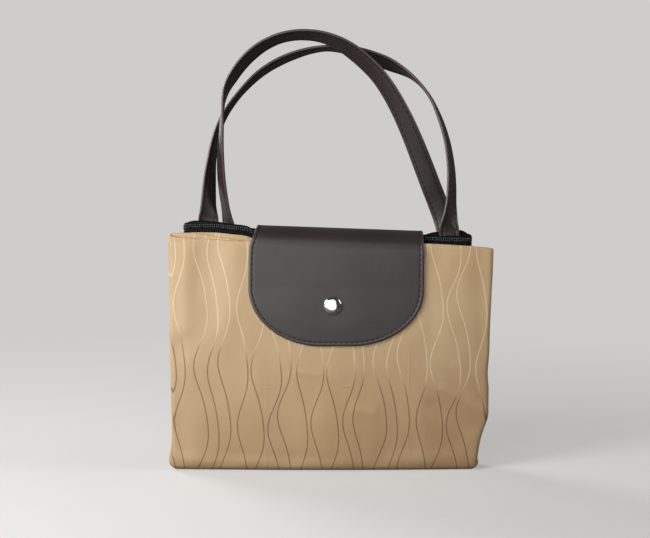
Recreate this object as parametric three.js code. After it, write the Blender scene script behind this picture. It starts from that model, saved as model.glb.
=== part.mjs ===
// A folding shopping bag in its storage fold, standing upright, in millimetres with +Z up.
// The viewer is on the -Y side and +X is to their right. The base rests on z = 0.
// The bag is a flat cloth pouch with a zip mouth. Its two side wings are folded forwards, then its
// lower half is folded up in front. A flap from the back closes over the top with a snap.
import * as THREE from "three";

// Driving dimensions of the cloth pouch
const clothThick = 1.3;
const pouchGap = 1.0; // between the pouch's two panels
const wingLength = 68; // side wing, from its fold to its seam
const wingPitch = 4.4; // from the main layer's middle to the wing's middle
const wingPitchTop = 8.0; // the same at the top of the back, where the front handle's ends lie between
const handlePocketLow = 140; // height where the wings start to open for the handle's ends
const handlePocketHigh = 160;
const foldRadius = 5; // outer radius at the base, front and back
const innerFoldDepth = 8;
const innerFoldRadius = 2.5;

// Depths of the standing bag, as y
const frontTop = -11.5;
const frontCrestEdge = -16; // front face at its fullest height, at the side folds
const frontCrestSwell = 5; // how much further it stands out in the middle
const frontBaseEdge = -12.8;
const frontBaseSwell = 5.2;
const crestHeight = 97; // height of the fullest line in the middle
const crestSlant = -0.19; // its slope along x
const swellHalfWidth = 150;
const backTop = 9.5;
const backSwell = 3.5;
const backSwellHeight = 120;
const topLine = 205;

// Zip
const zipThick = 3.2;
const zipSeat = 0.6; // gap over the cloth's mouth
const coilRaise = 0.35;
const coilBand = [2.9, 7.4]; // the coil's band, up from the zip's lower edge

// Handles
const strapWide = 18;
const strapThick = 3;
const strapRound = 1.1;

// Flap
const flapThick = 1.8;
const flapTilt = -0.036; // slope of its bend along x
const flapBottom = 112.8;
const flapCornerWide = 64;
const flapCornerTall = 50;
const flapBackEnd = 152;
const flapBackCorner = 14;

// Snap cap
const capRadius = 8.1;
const capHeight = 3.6;
const capX = 6.6;
const capZ = 148.6;
const capGap = 0.45;

const red = new THREE.Color(0.19, 0.13, 0.11);
const looks = {
  cloth: new THREE.MeshStandardMaterial({ color: new THREE.Color(0.8, 0.68, 0.5), roughness: 0.55 }),
  tape: new THREE.MeshStandardMaterial({ color: new THREE.Color(0.05, 0.06, 0.07), roughness: 0.6 }),
  leather: new THREE.MeshStandardMaterial({ color: red, roughness: 0.5 }),
  chrome: new THREE.MeshStandardMaterial({ color: new THREE.Color(0.85, 0.86, 0.88), roughness: 0.1, metalness: 1 }),
};

// Side edges of the front, from the base up: the right edge has a folded corner that stands out
const frontEdges = [
  { z: 0, left: -136.5, right: 134.8 },
  { z: 3.5, left: -139.6, right: 137.3 },
  { z: 7, left: -139.8, right: 136.4 },
  { z: 14, left: -138, right: 137 },
  { z: 25, left: -136.9, right: 138.8 },
  { z: 52, left: -137, right: 145.6 },
  { z: 72, left: -137.2, right: 145.6 },
  { z: 86, left: -137.3, right: 144.6 },
  { z: 108, left: -137.5, right: 145.9 },
  { z: 126, left: -137.7, right: 146.3 },
  { z: 192, left: -138.5, right: 148.9 },
  { z: 212, left: -138.7, right: 149.3 },
];

// Side edges of the back, from the base up
const backEdges = [
  { z: 0, left: -136.5, right: 134.8 },
  { z: 5, left: -137.5, right: 136 },
  { z: 50, left: -134.5, right: 137 },
  { z: 110, left: -131, right: 135 },
  { z: 170, left: -127.5, right: 132 },
  { z: 212, left: -126, right: 131 },
];

// Height of the folded-up bottom edge, along the main layer and along each wing
const endMain = [
  { x: -138, z: 208.3 },
  { x: -127, z: 206.7 },
  { x: -64, z: 203.6 },
  { x: 88, z: 201.2 },
  { x: 128, z: 199.1 },
  { x: 149, z: 197.2 },
];
const endLeftWing = [
  { x: -136, z: 210.3 },
  { x: -120, z: 210.6 },
  { x: -92, z: 206.5 },
  { x: -65, z: 203 },
];
const endRightWing = [
  { x: 75, z: 197.5 },
  { x: 147, z: 196.4 },
];

// Height of the mouth, and of the zip's upper edge, along the main layer and along each wing
const mouthMain = [
  { x: -126, z: 209.5, crest: 219 },
  { x: -84, z: 208, crest: 217 },
  { x: -60, z: 205.2, crest: 214.6 },
  { x: 0, z: 203, crest: 212.4 },
  { x: 87, z: 199.8, crest: 209 },
  { x: 97, z: 202, crest: 211.4 },
  { x: 110, z: 203, crest: 212.8 },
  { x: 121, z: 203.4, crest: 213.3 },
  { x: 128, z: 200.7, crest: 210.4 },
];
const mouthLeftWing = [
  { x: -123, z: 211.4, crest: 220.8 },
  { x: -116, z: 211.8, crest: 222.3 },
  { x: -98, z: 211.6, crest: 221.5 },
  { x: -84, z: 210.2, crest: 219.4 },
  { x: -70, z: 208.6, crest: 217.7 },
  { x: -62, z: 205.4, crest: 214 },
  { x: -55, z: 204.2, crest: 212.9 },
];
const mouthRightWing = [
  { x: 60, z: 197.4, crest: 206.6 },
  { x: 88, z: 200.2, crest: 208.3 },
  { x: 112, z: 199.4, crest: 208.7 },
  { x: 128, z: 199.2, crest: 208.7 },
];

// Centre line of each handle: place, and turn of its outer face about the line, in degrees.
// Turn 0 has the strap's width along y; at 90 and -90 it lies flat against the bag.
const handleFrontPath = [
  { x: -103.9, y: 5.1, z: 172, turn: 90 },
  { x: -103.9, y: 3.7, z: 204, turn: 90 },
  { x: -103.9, y: 3.7, z: 219.5, turn: 88 },
  { x: -103.9, y: 3.8, z: 224.5, turn: 74 },
  { x: -103.9, y: 4.1, z: 229.5, turn: 54 },
  { x: -103.9, y: 4.6, z: 236.0, turn: 43 },
  { x: -103.4, y: 5.6, z: 247.8, turn: 36 },
  { x: -102.6, y: 7.4, z: 261.8, turn: 29 },
  { x: -101.2, y: 9.6, z: 275.8, turn: 20 },
  { x: -98.6, y: 11.2, z: 291.2, turn: 15 },
  { x: -95.2, y: 12.0, z: 303.2, turn: 13 },
  { x: -90.7, y: 12.3, z: 313.6, turn: 12 },
  { x: -84.8, y: 12.4, z: 323.2, turn: 11 },
  { x: -78.0, y: 12.3, z: 332.0, turn: 10 },
  { x: -69.8, y: 12.2, z: 341.2, turn: 12 },
  { x: -60.4, y: 12.0, z: 350.0, turn: 15 },
  { x: -52.0, y: 11.9, z: 356.2, turn: 16 },
  { x: -42.0, y: 11.8, z: 362.0, turn: 17 },
  { x: -29.2, y: 11.6, z: 367.6, turn: 16 },
  { x: -15.0, y: 11.4, z: 372.0, turn: 12 },
  { x: 0.4, y: 11.2, z: 374.4, turn: 9 },
  { x: 15.4, y: 11.0, z: 373.6, turn: 15 },
  { x: 28.1, y: 10.8, z: 370.8, turn: 25 },
  { x: 39.6, y: 10.4, z: 367.0, turn: 32 },
  { x: 50.2, y: 10.0, z: 363.0, turn: 34 },
  { x: 59.2, y: 9.6, z: 359.2, turn: 29 },
  { x: 67.9, y: 9.1, z: 354.9, turn: 17 },
  { x: 76.8, y: 8.5, z: 349.4, turn: 5 },
  { x: 86.2, y: 7.7, z: 340.6, turn: -3 },
  { x: 94.7, y: 6.9, z: 328.6, turn: -8 },
  { x: 102.7, y: 6.0, z: 310.6, turn: -14 },
  { x: 108.4, y: 5.4, z: 292.2, turn: -18 },
  { x: 111.7, y: 4.8, z: 272.0, turn: -23 },
  { x: 112.7, y: 4.2, z: 254.0, turn: -28 },
  { x: 112.3, y: 3.8, z: 238.5, turn: -33 },
  { x: 111.6, y: 3.6, z: 227.0, turn: -46 },
  { x: 111.0, y: 3.6, z: 220.0, turn: -62 },
  { x: 110.9, y: 3.6, z: 215.5, turn: -76 },
  { x: 110.9, y: 3.7, z: 210.0, turn: -87 },
  { x: 110.9, y: 3.8, z: 202, turn: -90 },
  { x: 110.9, y: 5.1, z: 172, turn: -90 },
];
const handleBackPath = [
  { x: -87.6, y: 13.5, z: 164, turn: -90 },
  { x: -87.6, y: 12.6, z: 186, turn: -90 },
  { x: -87.6, y: 12.3, z: 197, turn: -87 },
  { x: -87.6, y: 14.6, z: 207, turn: -72 },
  { x: -87.5, y: 17.4, z: 214, turn: -50 },
  { x: -87.5, y: 18.2, z: 220, turn: -36 },
  { x: -88.3, y: 16.4, z: 226.5, turn: -28 },
  { x: -89.5, y: 13.2, z: 234.5, turn: -24 },
  { x: -91.0, y: 9.0, z: 246.5, turn: -24 },
  { x: -92.1, y: 4.8, z: 260.2, turn: -23 },
  { x: -92.4, y: 0.6, z: 275.8, turn: -21 },
  { x: -91.9, y: -3.4, z: 290.7, turn: -17 },
  { x: -90.8, y: -6.6, z: 304.6, turn: -12 },
  { x: -89.7, y: -8.6, z: 317.6, turn: -6 },
  { x: -88.4, y: -9.6, z: 328.6, turn: 3 },
  { x: -85.9, y: -10.0, z: 337.8, turn: 14 },
  { x: -80.9, y: -10.2, z: 347.0, turn: 23 },
  { x: -73.5, y: -10.3, z: 357.4, turn: 26 },
  { x: -63.9, y: -10.4, z: 367.3, turn: 27 },
  { x: -53.4, y: -10.4, z: 375.0, turn: 25 },
  { x: -41.0, y: -10.3, z: 380.9, turn: 23 },
  { x: -28.7, y: -10.1, z: 383.8, turn: 23 },
  { x: -16.5, y: -9.8, z: 384.4, turn: 24 },
  { x: -4.3, y: -9.4, z: 383.0, turn: 26 },
  { x: 6.9, y: -8.9, z: 379.6, turn: 30 },
  { x: 17.6, y: -8.3, z: 374.2, turn: 37 },
  { x: 27.2, y: -7.6, z: 367.6, turn: 42 },
  { x: 36.4, y: -6.8, z: 359.8, turn: 44 },
  { x: 46.6, y: -5.7, z: 349.4, turn: 45 },
  { x: 57.3, y: -4.2, z: 334.4, turn: 49 },
  { x: 67.9, y: -1.4, z: 315.5, turn: 55 },
  { x: 78.0, y: 2.4, z: 293.8, turn: 63 },
  { x: 86.8, y: 6.8, z: 272.6, turn: 73 },
  { x: 94.6, y: 11.0, z: 253.1, turn: 80 },
  { x: 101.4, y: 14.4, z: 236.5, turn: 84 },
  { x: 106.8, y: 15.6, z: 222.0, turn: 86 },
  { x: 109.8, y: 14.0, z: 209.5, turn: 88 },
  { x: 111.0, y: 12.3, z: 197, turn: 90 },
  { x: 111.3, y: 12.6, z: 186, turn: 90 },
  { x: 111.6, y: 13.5, z: 164, turn: 90 },
];

// Inner face of the flap from the bag's back over the bend, at x = 0
const flapBend = [
  { y: 10.5, z: 203 },
  { y: 10.8, z: 208.2 },
  { y: 10.4, z: 211.8 },
  { y: 8.6, z: 213.7 },
  { y: 5.2, z: 214 },
  { y: 1.5, z: 213.6 },
  { y: -2.4, z: 212.4 },
  { y: -6.4, z: 210.4 },
  { y: -9.8, z: 207.6 },
  { y: -12.6, z: 204.2 },
  { y: -14.2, z: 199.8 },
];

// Side edges of the flap, by its height on the front
const flapEdges = [
  { z: 112, left: -67.3, right: 87 },
  { z: 169, left: -67.3, right: 87 },
  { z: 197, left: -66.5, right: 87.2 },
  { z: 204, left: -64.2, right: 87 },
  { z: 214, left: -60.6, right: 87.2 },
];

const pouchHalf = pouchGap / 2 + clothThick;
const cavityHalf = pouchGap / 2;

// Value of one column of a table at a place along another column
function lookUp(table, along, at, column) {
  const last = table.length - 1;
  if (at <= table[0][along]) return table[0][column];
  if (at >= table[last][along]) return table[last][column];
  const i = table.findIndex((row) => row[along] >= at);
  const [a, b] = [table[i - 1], table[i]];
  const f = (at - a[along]) / (b[along] - a[along]);
  return a[column] + (b[column] - a[column]) * f;
}

// Front face of the folded-up half, fullest along a slanting line
function frontFace(x, z) {
  const middle = Math.max(0, 1 - (x / swellHalfWidth) ** 2);
  const crestZ = crestHeight + crestSlant * x;
  const crest = frontCrestEdge - frontCrestSwell * middle;
  const base = frontBaseEdge - frontBaseSwell * middle;
  if (z > crestZ) {
    const f = Math.min(1, (topLine - z) / (topLine - crestZ));
    return frontTop + (crest - frontTop) * Math.sin((Math.PI / 2) * Math.max(0, f));
  }
  return base + (crest - base) * Math.sin((Math.PI / 2) * (z / crestZ));
}

function backFace(z) {
  const f = Math.min(1, Math.max(0, (topLine - z) / backSwellHeight));
  return backTop + backSwell * Math.sin((Math.PI / 2) * f);
}

// Closed mesh of a list of rings with the same number of points, each ring closed, with both ends capped
// by ladders that join the ring's first half to its second half
function meshOf(points, faces) {
  const geometry = new THREE.BufferGeometry();
  geometry.setAttribute("position", new THREE.Float32BufferAttribute(points.flat(), 3));
  geometry.setIndex(faces.flat());
  if (signedVolume(points, faces) < 0) {
    geometry.setIndex(faces.map(([a, b, c]) => [a, c, b]).flat());
  }
  geometry.computeVertexNormals();
  return geometry;
}

function signedVolume(points, faces) {
  let sum = 0;
  for (const [a, b, c] of faces) {
    const [p, q, r] = [points[a], points[b], points[c]];
    sum += p[0] * (q[1] * r[2] - q[2] * r[1]);
    sum += p[1] * (q[2] * r[0] - q[0] * r[2]);
    sum += p[2] * (q[0] * r[1] - q[1] * r[0]);
  }
  return sum / 6;
}

function quad(faces, a, b, c, d) {
  faces.push([a, b, c], [a, c, d]);
}

// Joins ring i to ring i + 1, for rings of count points that start at first
function skin(faces, first, rings, count) {
  for (let i = 0; i < rings - 1; i++) {
    for (let j = 0; j < count; j++) {
      const k = (j + 1) % count;
      const [low, high] = [first + i * count, first + (i + 1) * count];
      quad(faces, low + j, low + k, high + k, high + j);
    }
  }
}

// Fills one flat ring across, from its first half to its second half
function ladder(faces, start, count, flip) {
  for (let j = 0; j < count / 2 - 1; j++) {
    const corners = [start + j, start + j + 1, start + count - 2 - j, start + count - 1 - j];
    if (flip) corners.reverse();
    quad(faces, ...corners);
  }
}

// Samples across the folded pouch and its zip, from the left wing's seam to the right wing's seam
const across = [];
for (const f of [0, 0.144, 0.262, 0.45, 0.63, 0.82]) across.push({ zone: "wing", side: -1, f });
for (const f of [0, 0.25, 0.5, 0.75]) across.push({ zone: "turn", side: -1, f });
for (const f of [0, 0.07, 0.15, 0.24, 0.34, 0.45, 0.56, 0.67, 0.77, 0.85, 0.93, 1]) {
  across.push({ zone: "main", side: 0, f });
}
for (const f of [0.25, 0.5, 0.75, 1]) across.push({ zone: "turn", side: 1, f });
for (const f of [0.2, 0.44, 0.66, 0.84, 1]) across.push({ zone: "wing", side: 1, f });

// One sample's place in the cross section: x, depth inwards, and the outward direction there
function section(sample, left, right, pitch, seamBack) {
  const r = pitch / 2;
  const inset = r + pouchHalf;
  const [mainLeft, mainRight] = [left + inset, right - inset];
  const length = wingLength - seamBack;
  if (sample.zone === "main") {
    return { x: mainLeft + (mainRight - mainLeft) * sample.f, depth: pouchHalf, nx: 0, nd: -1 };
  }
  if (sample.zone === "turn") {
    const angle = sample.side < 0 ? Math.PI * (1 - sample.f) : Math.PI * sample.f;
    const nx = sample.side * Math.sin(angle);
    const nd = -Math.cos(angle);
    const centre = sample.side < 0 ? mainLeft : mainRight;
    return { x: centre + r * nx, depth: pouchHalf + r + r * nd, nx, nd };
  }
  const fromFold = sample.side < 0 ? 1 - sample.f : sample.f;
  const fold = sample.side < 0 ? mainLeft : mainRight;
  return { x: fold - sample.side * length * fromFold, depth: pouchHalf + pitch, nx: 0, nd: 1 };
}

// Height along the mouth or the folded-up end, on the main layer, through the turn and on the wing
function heightAt(sample, x, main, leftWing, rightWing, column) {
  const wing = sample.side < 0 ? leftWing : rightWing;
  const onMain = lookUp(main, "x", x, column);
  if (sample.zone === "main") return onMain;
  const onWing = lookUp(wing, "x", x, column);
  if (sample.zone === "wing") return onWing;
  const f = sample.side < 0 ? 1 - sample.f : sample.f;
  return onMain + (onWing - onMain) * f;
}

const mouthHeight = (sample, x, column) =>
  heightAt(sample, x, mouthMain, mouthLeftWing, mouthRightWing, column);
const endHeight = (sample, x) => heightAt(sample, x, endMain, endLeftWing, endRightWing, "z");

// Rows of the pouch along its length: down the back, round the base and up the front. The panels'
// inner faces leave out the rows that only the outer faces need.
const rows = [];
const outerOnly = [0.07, 0.045, 0.1, 0.35, 0.92];
for (const f of [0, 0.07, 0.2, 0.35, 0.52, 0.7, 0.86, 1]) rows.push({ wall: "back", f });
for (const f of [0.25, 0.5, 0.75]) rows.push({ wall: "backCorner", f });
for (const f of [0, 0.5, 1]) rows.push({ wall: "base", f });
for (const f of [0.25, 0.5, 0.75]) rows.push({ wall: "frontCorner", f });
for (const f of [0, 0.045, 0.1, 0.22, 0.33, 0.4, 0.52, 0.65, 0.8, 0.92, 1]) rows.push({ wall: "front", f });

// A point of the pouch: offset is its distance from the pouch's middle, outwards; lift raises the end
function pouchPoint(row, sample, offset, seamBack, lift) {
  const onBack = row.wall === "back";
  const top = onBack ? mouthHeight(sample, 0, "z") : 200;
  const up = onBack ? 1 - row.f : row.wall === "front" ? row.f : 0;
  const roughZ = foldRadius + (top - foldRadius) * up;
  const edges = row.wall.startsWith("back") ? backEdges : frontEdges;
  const edgeZ = row.wall === "base" ? 0 : row.wall.endsWith("Corner") ? cornerEdgeHeight(row) : roughZ;
  const left = lookUp(edges, "z", edgeZ, "left");
  const right = lookUp(edges, "z", edgeZ, "right");
  const opened = (roughZ - handlePocketLow) / (handlePocketHigh - handlePocketLow);
  const openFor = onBack ? Math.min(1, Math.max(0, opened)) : 0;
  const pitch = wingPitch + (wingPitchTop - wingPitch) * openFor;
  const s = section(sample, left, right, pitch, seamBack);
  const x = s.x + s.nx * offset;
  const depth = s.depth + s.nd * offset;
  return placeInWall(row, sample, x, depth, lift);
}

function cornerEdgeHeight(row) {
  const turned = row.wall === "backCorner" ? row.f : 1 - row.f;
  return foldRadius * (1 - Math.sin((Math.PI / 2) * turned));
}

// Turns x and a depth inwards from the outer face into a place in the standing bag
function placeInWall(row, sample, x, depth, lift) {
  const share = depth / innerFoldDepth;
  const cornerTop = foldRadius + (innerFoldDepth + innerFoldRadius - foldRadius) * share;
  const back = backFace(foldRadius);
  const front = frontFace(x, foldRadius);
  if (row.wall === "back") {
    const z = mouthHeight(sample, x, "z") * (1 - row.f) + cornerTop * row.f;
    return [x, backFace(z) - depth, z];
  }
  if (row.wall === "front") {
    const z = cornerTop * (1 - row.f) + (endHeight(sample, x) + lift) * row.f;
    return [x, frontFace(x, z) + depth, z];
  }
  const mix = (outer, inner) => [x, outer[0] + (inner[0] - outer[0]) * share, outer[1] + (inner[1] - outer[1]) * share];
  const [backOuter, frontOuter] = [back - foldRadius, front + foldRadius];
  const innerInset = innerFoldDepth + innerFoldRadius;
  const [backInner, frontInner] = [back - innerInset, front + innerInset];
  if (row.wall === "base") {
    const outer = [backOuter + (frontOuter - backOuter) * row.f, 0];
    const inner = [backInner + (frontInner - backInner) * row.f, innerFoldDepth];
    return mix(outer, inner);
  }
  const atBack = row.wall === "backCorner";
  const angle = (Math.PI / 2) * (atBack ? row.f : 1 - row.f);
  const side = atBack ? 1 : -1;
  const [c, s] = [Math.cos(angle), Math.sin(angle)];
  const outer = [(atBack ? backOuter : frontOuter) + side * foldRadius * c, foldRadius * (1 - s)];
  const inner = [
    (atBack ? backInner : frontInner) + side * innerFoldRadius * c,
    innerInset - innerFoldRadius * s,
  ];
  return mix(outer, inner);
}

// Ring of the pouch in one row: along the outer panel, then back along the inner panel
function pouchRing(row, half, seamBack, lift) {
  const outward = across.map((sample) => pouchPoint(row, sample, half, seamBack, lift));
  const inward = across.map((sample) => pouchPoint(row, sample, -half, seamBack, lift));
  return [...outward, ...inward.reverse()];
}

function makePouch() {
  const count = across.length * 2;
  const outer = rows.map((row) => pouchRing(row, pouchHalf, 0, 0));
  outer.push(pouchRing(rows[rows.length - 1], pouchHalf * 0.55, 0, 0.8));
  const inner = rows
    .filter((row) => !outerOnly.includes(row.f))
    .map((row) => pouchRing(row, cavityHalf, clothThick, row.wall === "front" && row.f === 1 ? -clothThick : 0));
  const points = [...outer, ...inner].flat();
  const faces = [];
  const innerFirst = outer.length * count;
  skin(faces, 0, outer.length, count);
  ladder(faces, (outer.length - 1) * count, count, false);
  const inside = [];
  skin(inside, innerFirst, inner.length, count);
  ladder(inside, innerFirst + (inner.length - 1) * count, count, false);
  for (const [a, b, c] of inside) faces.push([a, c, b]);
  for (let j = 0; j < count; j++) {
    const k = (j + 1) % count;
    quad(faces, j, innerFirst + j, innerFirst + k, k);
  }
  return meshOf(points, faces);
}

// Ring of the zip's cross section at one sample: up its outer face, with the coil's band raised, and down
function zipRing(sample) {
  const top = { wall: "back", f: 0 };
  const [low, high] = coilBand;
  const flat = zipThick / 2;
  const profile = [
    [flat, 0],
    [flat, low],
    [flat + coilRaise, low + 0.6],
    [flat + coilRaise, high - 0.6],
    [flat, high],
    [flat * 0.55, 1],
    [-flat * 0.55, 1],
    [-flat, high],
    [-flat, 0],
  ];
  return profile.map(([offset, up], i) => {
    const p = pouchPoint(top, sample, offset, 0, 0);
    const mouth = mouthHeight(sample, p[0], "z") + zipSeat;
    const crest = mouthHeight(sample, p[0], "crest");
    const atTop = i === 5 || i === 6;
    return [p[0], p[1], atTop ? crest : mouth + up];
  });
}

const makeZip = () => tube(across.map(zipRing));

// Closed tube through a list of rings, with fans from their last point at its two ends
function tube(rings) {
  const count = rings[0].length;
  const faces = [];
  skin(faces, 0, rings.length, count);
  const last = (rings.length - 1) * count;
  for (let j = 0; j < count - 2; j++) {
    faces.push([count - 1, j + 1, j]);
    faces.push([last + count - 1, last + j, last + j + 1]);
  }
  return meshOf(rings.flat(), faces);
}

// Handle: a rounded flat strap swept along its path, turning about it
function makeHandle(path, steps) {
  const line = new THREE.CatmullRomCurve3(path.map((p) => new THREE.Vector3(p.x, p.y, p.z)));
  const turns = new THREE.CatmullRomCurve3(path.map((p) => new THREE.Vector3(p.turn, 0, 0)));
  const [w, t] = [strapWide / 2, strapThick / 2];
  const outline = [
    [w - strapRound, t],
    [w, t - strapRound],
    [w, strapRound - t],
    [w - strapRound, -t],
    [strapRound - w, -t],
    [-w, strapRound - t],
    [-w, t - strapRound],
    [strapRound - w, t],
  ];
  const rings = [];
  for (let i = 0; i <= steps; i++) {
    const at = i / steps;
    const centre = line.getPoint(at);
    const tangent = line.getTangent(at);
    const turn = THREE.MathUtils.degToRad(turns.getPoint(at).x);
    const outwards = new THREE.Vector3(-tangent.z, 0, tangent.x).normalize();
    const aside = new THREE.Vector3().crossVectors(outwards, tangent);
    const normal = outwards.clone().multiplyScalar(Math.cos(turn)).addScaledVector(aside, Math.sin(turn));
    const width = aside.clone().multiplyScalar(Math.cos(turn)).addScaledVector(outwards, -Math.sin(turn));
    rings.push(outline.map(([a, b]) => {
      const p = centre.clone().addScaledVector(width, a).addScaledVector(normal, b);
      return [p.x, p.y, p.z];
    }));
  }
  return tube(rings);
}

// Inner face of the flap: a list of rows from its back end to its front edge
function flapRows() {
  const list = [];
  for (const f of [0, 0.05, 0.14, 0.3, 0.6]) {
    const z = flapBackEnd + (flapBend[0].z - flapBackEnd) * f;
    list.push({ y: backFace(z) + 0.5, z, tilt: f, follow: 0 });
  }
  flapBend.forEach((p) => list.push({ ...p, tilt: 1, follow: 0 }));
  const low = flapBend[flapBend.length - 1].z;
  for (const f of [0.08, 0.24, 0.42, 0.58, 0.7, 0.8, 0.88, 0.94, 0.98, 1]) {
    const z = low + (flapBottom - low) * f;
    list.push({ z, tilt: 1 - f, follow: 1, gap: 2.2 - 1.4 * Math.min(1, f * 2.4) });
  }
  return list;
}

// Distance by which a round corner draws in the side, at a height over the end
function cornerInset(over, wide, tall) {
  if (over >= tall) return 0;
  const f = (tall - over) / tall;
  return wide * (1 - Math.sqrt(Math.max(0, 1 - f * f)));
}

function flapEdge(row, side) {
  const edge = lookUp(flapEdges, "z", row.follow ? row.z : Math.max(204, row.z), side < 0 ? "left" : "right");
  const onBack = !row.follow && row.y > 5;
  const plain = onBack && row.z < 205 ? (side < 0 ? -61.5 : 86.5) : edge;
  const inset = row.follow
    ? cornerInset(row.z - flapBottom, flapCornerWide, flapCornerTall)
    : onBack
      ? cornerInset(row.z - flapBackEnd, flapBackCorner, flapBackCorner)
      : 0;
  return plain - side * inset;
}

function makeFlap() {
  const columns = 14;
  const list = flapRows();
  const inner = list.map((row) => {
    const [left, right] = [flapEdge(row, -1), flapEdge(row, 1)];
    return Array.from({ length: columns + 1 }, (_, i) => {
      const x = left + ((right - left) * i) / columns;
      const z = row.z + flapTilt * x * row.tilt;
      const y = row.follow ? frontFace(x, z) - row.gap : row.y;
      return new THREE.Vector3(x, y, z);
    });
  });
  const outer = inner.map((line, r) =>
    line.map((p, i) => {
      const along = inner[Math.min(r + 1, inner.length - 1)][i].clone().sub(inner[Math.max(r - 1, 0)][i]);
      const out = new THREE.Vector3(0, along.z, -along.y).normalize();
      return p.clone().addScaledVector(out, flapThick);
    }),
  );
  const points = [...inner.flat(), ...outer.flat()].map((p) => [p.x, p.y, p.z]);
  const width = columns + 1;
  const half = list.length * width;
  const faces = [];
  for (let r = 0; r < list.length - 1; r++) {
    for (let i = 0; i < columns; i++) {
      const a = r * width + i;
      quad(faces, a, a + 1, a + width + 1, a + width);
      quad(faces, half + a, half + a + width, half + a + width + 1, half + a + 1);
    }
  }
  const rim = [];
  for (let i = 0; i < width; i++) rim.push(i);
  for (let r = 1; r < list.length; r++) rim.push(r * width + columns);
  for (let i = columns - 1; i >= 0; i--) rim.push((list.length - 1) * width + i);
  for (let r = list.length - 2; r > 0; r--) rim.push(r * width);
  rim.forEach((a, i) => {
    const b = rim[(i + 1) % rim.length];
    quad(faces, b, a, half + a, half + b);
  });
  return meshOf(points, faces);
}

// Snap cap: a domed disc with a turned-in rim, its flat side towards the flap
function makeCap() {
  const profile = [
    [0, 0],
    [capRadius - 0.9, 0],
    [capRadius - 0.15, 0.35],
    [capRadius, 0.95],
    [capRadius - 0.45, 1.6],
    [capRadius * 0.8, 2.45],
    [capRadius * 0.55, 3.15],
    [capRadius * 0.28, 3.5],
    [0, capHeight],
  ];
  return new THREE.LatheGeometry(profile.map(([r, h]) => new THREE.Vector2(r, h)), 28);
}

const bag = new THREE.Group();

function add(name, geometry, material) {
  const mesh = new THREE.Mesh(geometry, material);
  mesh.name = name;
  bag.add(mesh);
  return mesh;
}

add("bag_cloth", makePouch(), looks.cloth);
add("zip", makeZip(), looks.tape);
add("handle_front", makeHandle(handleFrontPath, 60), looks.leather);
add("handle_back", makeHandle(handleBackPath, 60), looks.leather);
add("flap", makeFlap(), looks.leather);

const cap = add("snap_cap", makeCap(), looks.chrome);
const slope = frontFace(capX, capZ + 5) - frontFace(capX, capZ - 5);
const lean = Math.atan2(slope, 10);
const flapGapThere = 0.8;
const off = flapGapThere + flapThick + capGap;
cap.position.set(capX, frontFace(capX, capZ) - off / Math.cos(lean), capZ);
cap.rotation.x = Math.PI - lean;

export default bag;
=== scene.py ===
import math
from functools import partial

import bpy
import numpy as np
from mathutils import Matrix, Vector, noise


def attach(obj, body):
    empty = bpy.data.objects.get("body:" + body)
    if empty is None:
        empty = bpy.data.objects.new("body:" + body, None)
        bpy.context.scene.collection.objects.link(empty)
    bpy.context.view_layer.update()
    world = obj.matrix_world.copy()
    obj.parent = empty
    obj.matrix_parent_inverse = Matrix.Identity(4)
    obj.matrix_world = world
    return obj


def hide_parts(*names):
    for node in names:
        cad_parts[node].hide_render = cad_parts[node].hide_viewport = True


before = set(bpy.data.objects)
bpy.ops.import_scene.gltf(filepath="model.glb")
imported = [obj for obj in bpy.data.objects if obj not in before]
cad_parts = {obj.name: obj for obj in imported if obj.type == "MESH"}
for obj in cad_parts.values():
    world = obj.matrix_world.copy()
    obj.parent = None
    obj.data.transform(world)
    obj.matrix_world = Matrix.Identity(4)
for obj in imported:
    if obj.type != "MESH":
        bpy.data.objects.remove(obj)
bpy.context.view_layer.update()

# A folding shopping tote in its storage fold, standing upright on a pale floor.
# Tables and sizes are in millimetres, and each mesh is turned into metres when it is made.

scene = bpy.context.scene


# Camera, floor and light
# The camera stands 1.15 m in front of the bag, at three quarters of its height with the handles, and looks
# slightly down. The floor is a plain pale sheet. Five soft boxes light the bag: from the left and above, from
# the front, low from the left, from the right, and from behind at the left.

camera = bpy.data.objects.new("camera", bpy.data.cameras.new("camera"))
camera.location = (0, -1.1543, 0.2840)
camera.rotation_euler = (math.radians(84.8), 0, 0)
camera.data.lens = 72
camera.data.sensor_width = 36
scene.collection.objects.link(camera)
scene.camera = camera
scene.view_settings.view_transform = "Standard"


def linear(red, green, blue):
    """Shader colour of an everyday colour given from 0 to 255."""
    shares = [c / 255 for c in (red, green, blue)]
    return tuple(((c + 0.055) / 1.055) ** 2.4 if c > 10 / 255 else c / 12.92 for c in shares) + (1,)


def new_material(name, colour, roughness, **sockets):
    """Material with one Principled shader; returns the material, its tree and the shader."""
    material = bpy.data.materials.new(name)
    material.use_nodes = True
    shader = material.node_tree.nodes["Principled BSDF"]
    shader.inputs["Base Color"].default_value = colour
    shader.inputs["Roughness"].default_value = roughness
    for socket, value in sockets.items():
        shader.inputs[socket.replace("_", " ")].default_value = value
    return material, material.node_tree, shader


def new_piece(name, points, faces, material, smooth=True):
    """Object at the origin with a mesh of these points, given in millimetres."""
    mesh = bpy.data.meshes.new(name)
    mesh.from_pydata([tuple(p) for p in np.asarray(points, float) * 0.001], [], [tuple(f) for f in faces])
    mesh.validate()
    mesh.polygons.foreach_set("use_smooth", [smooth] * len(mesh.polygons))
    mesh.materials.append(material)
    piece = bpy.data.objects.new(name, mesh)
    scene.collection.objects.link(piece)
    return piece


def feed(tree, socket, value):
    """Links a socket to another socket, or gives it a plain value."""
    if hasattr(value, "is_linked"):
        tree.links.new(value, socket)
    else:
        socket.default_value = value


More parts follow.
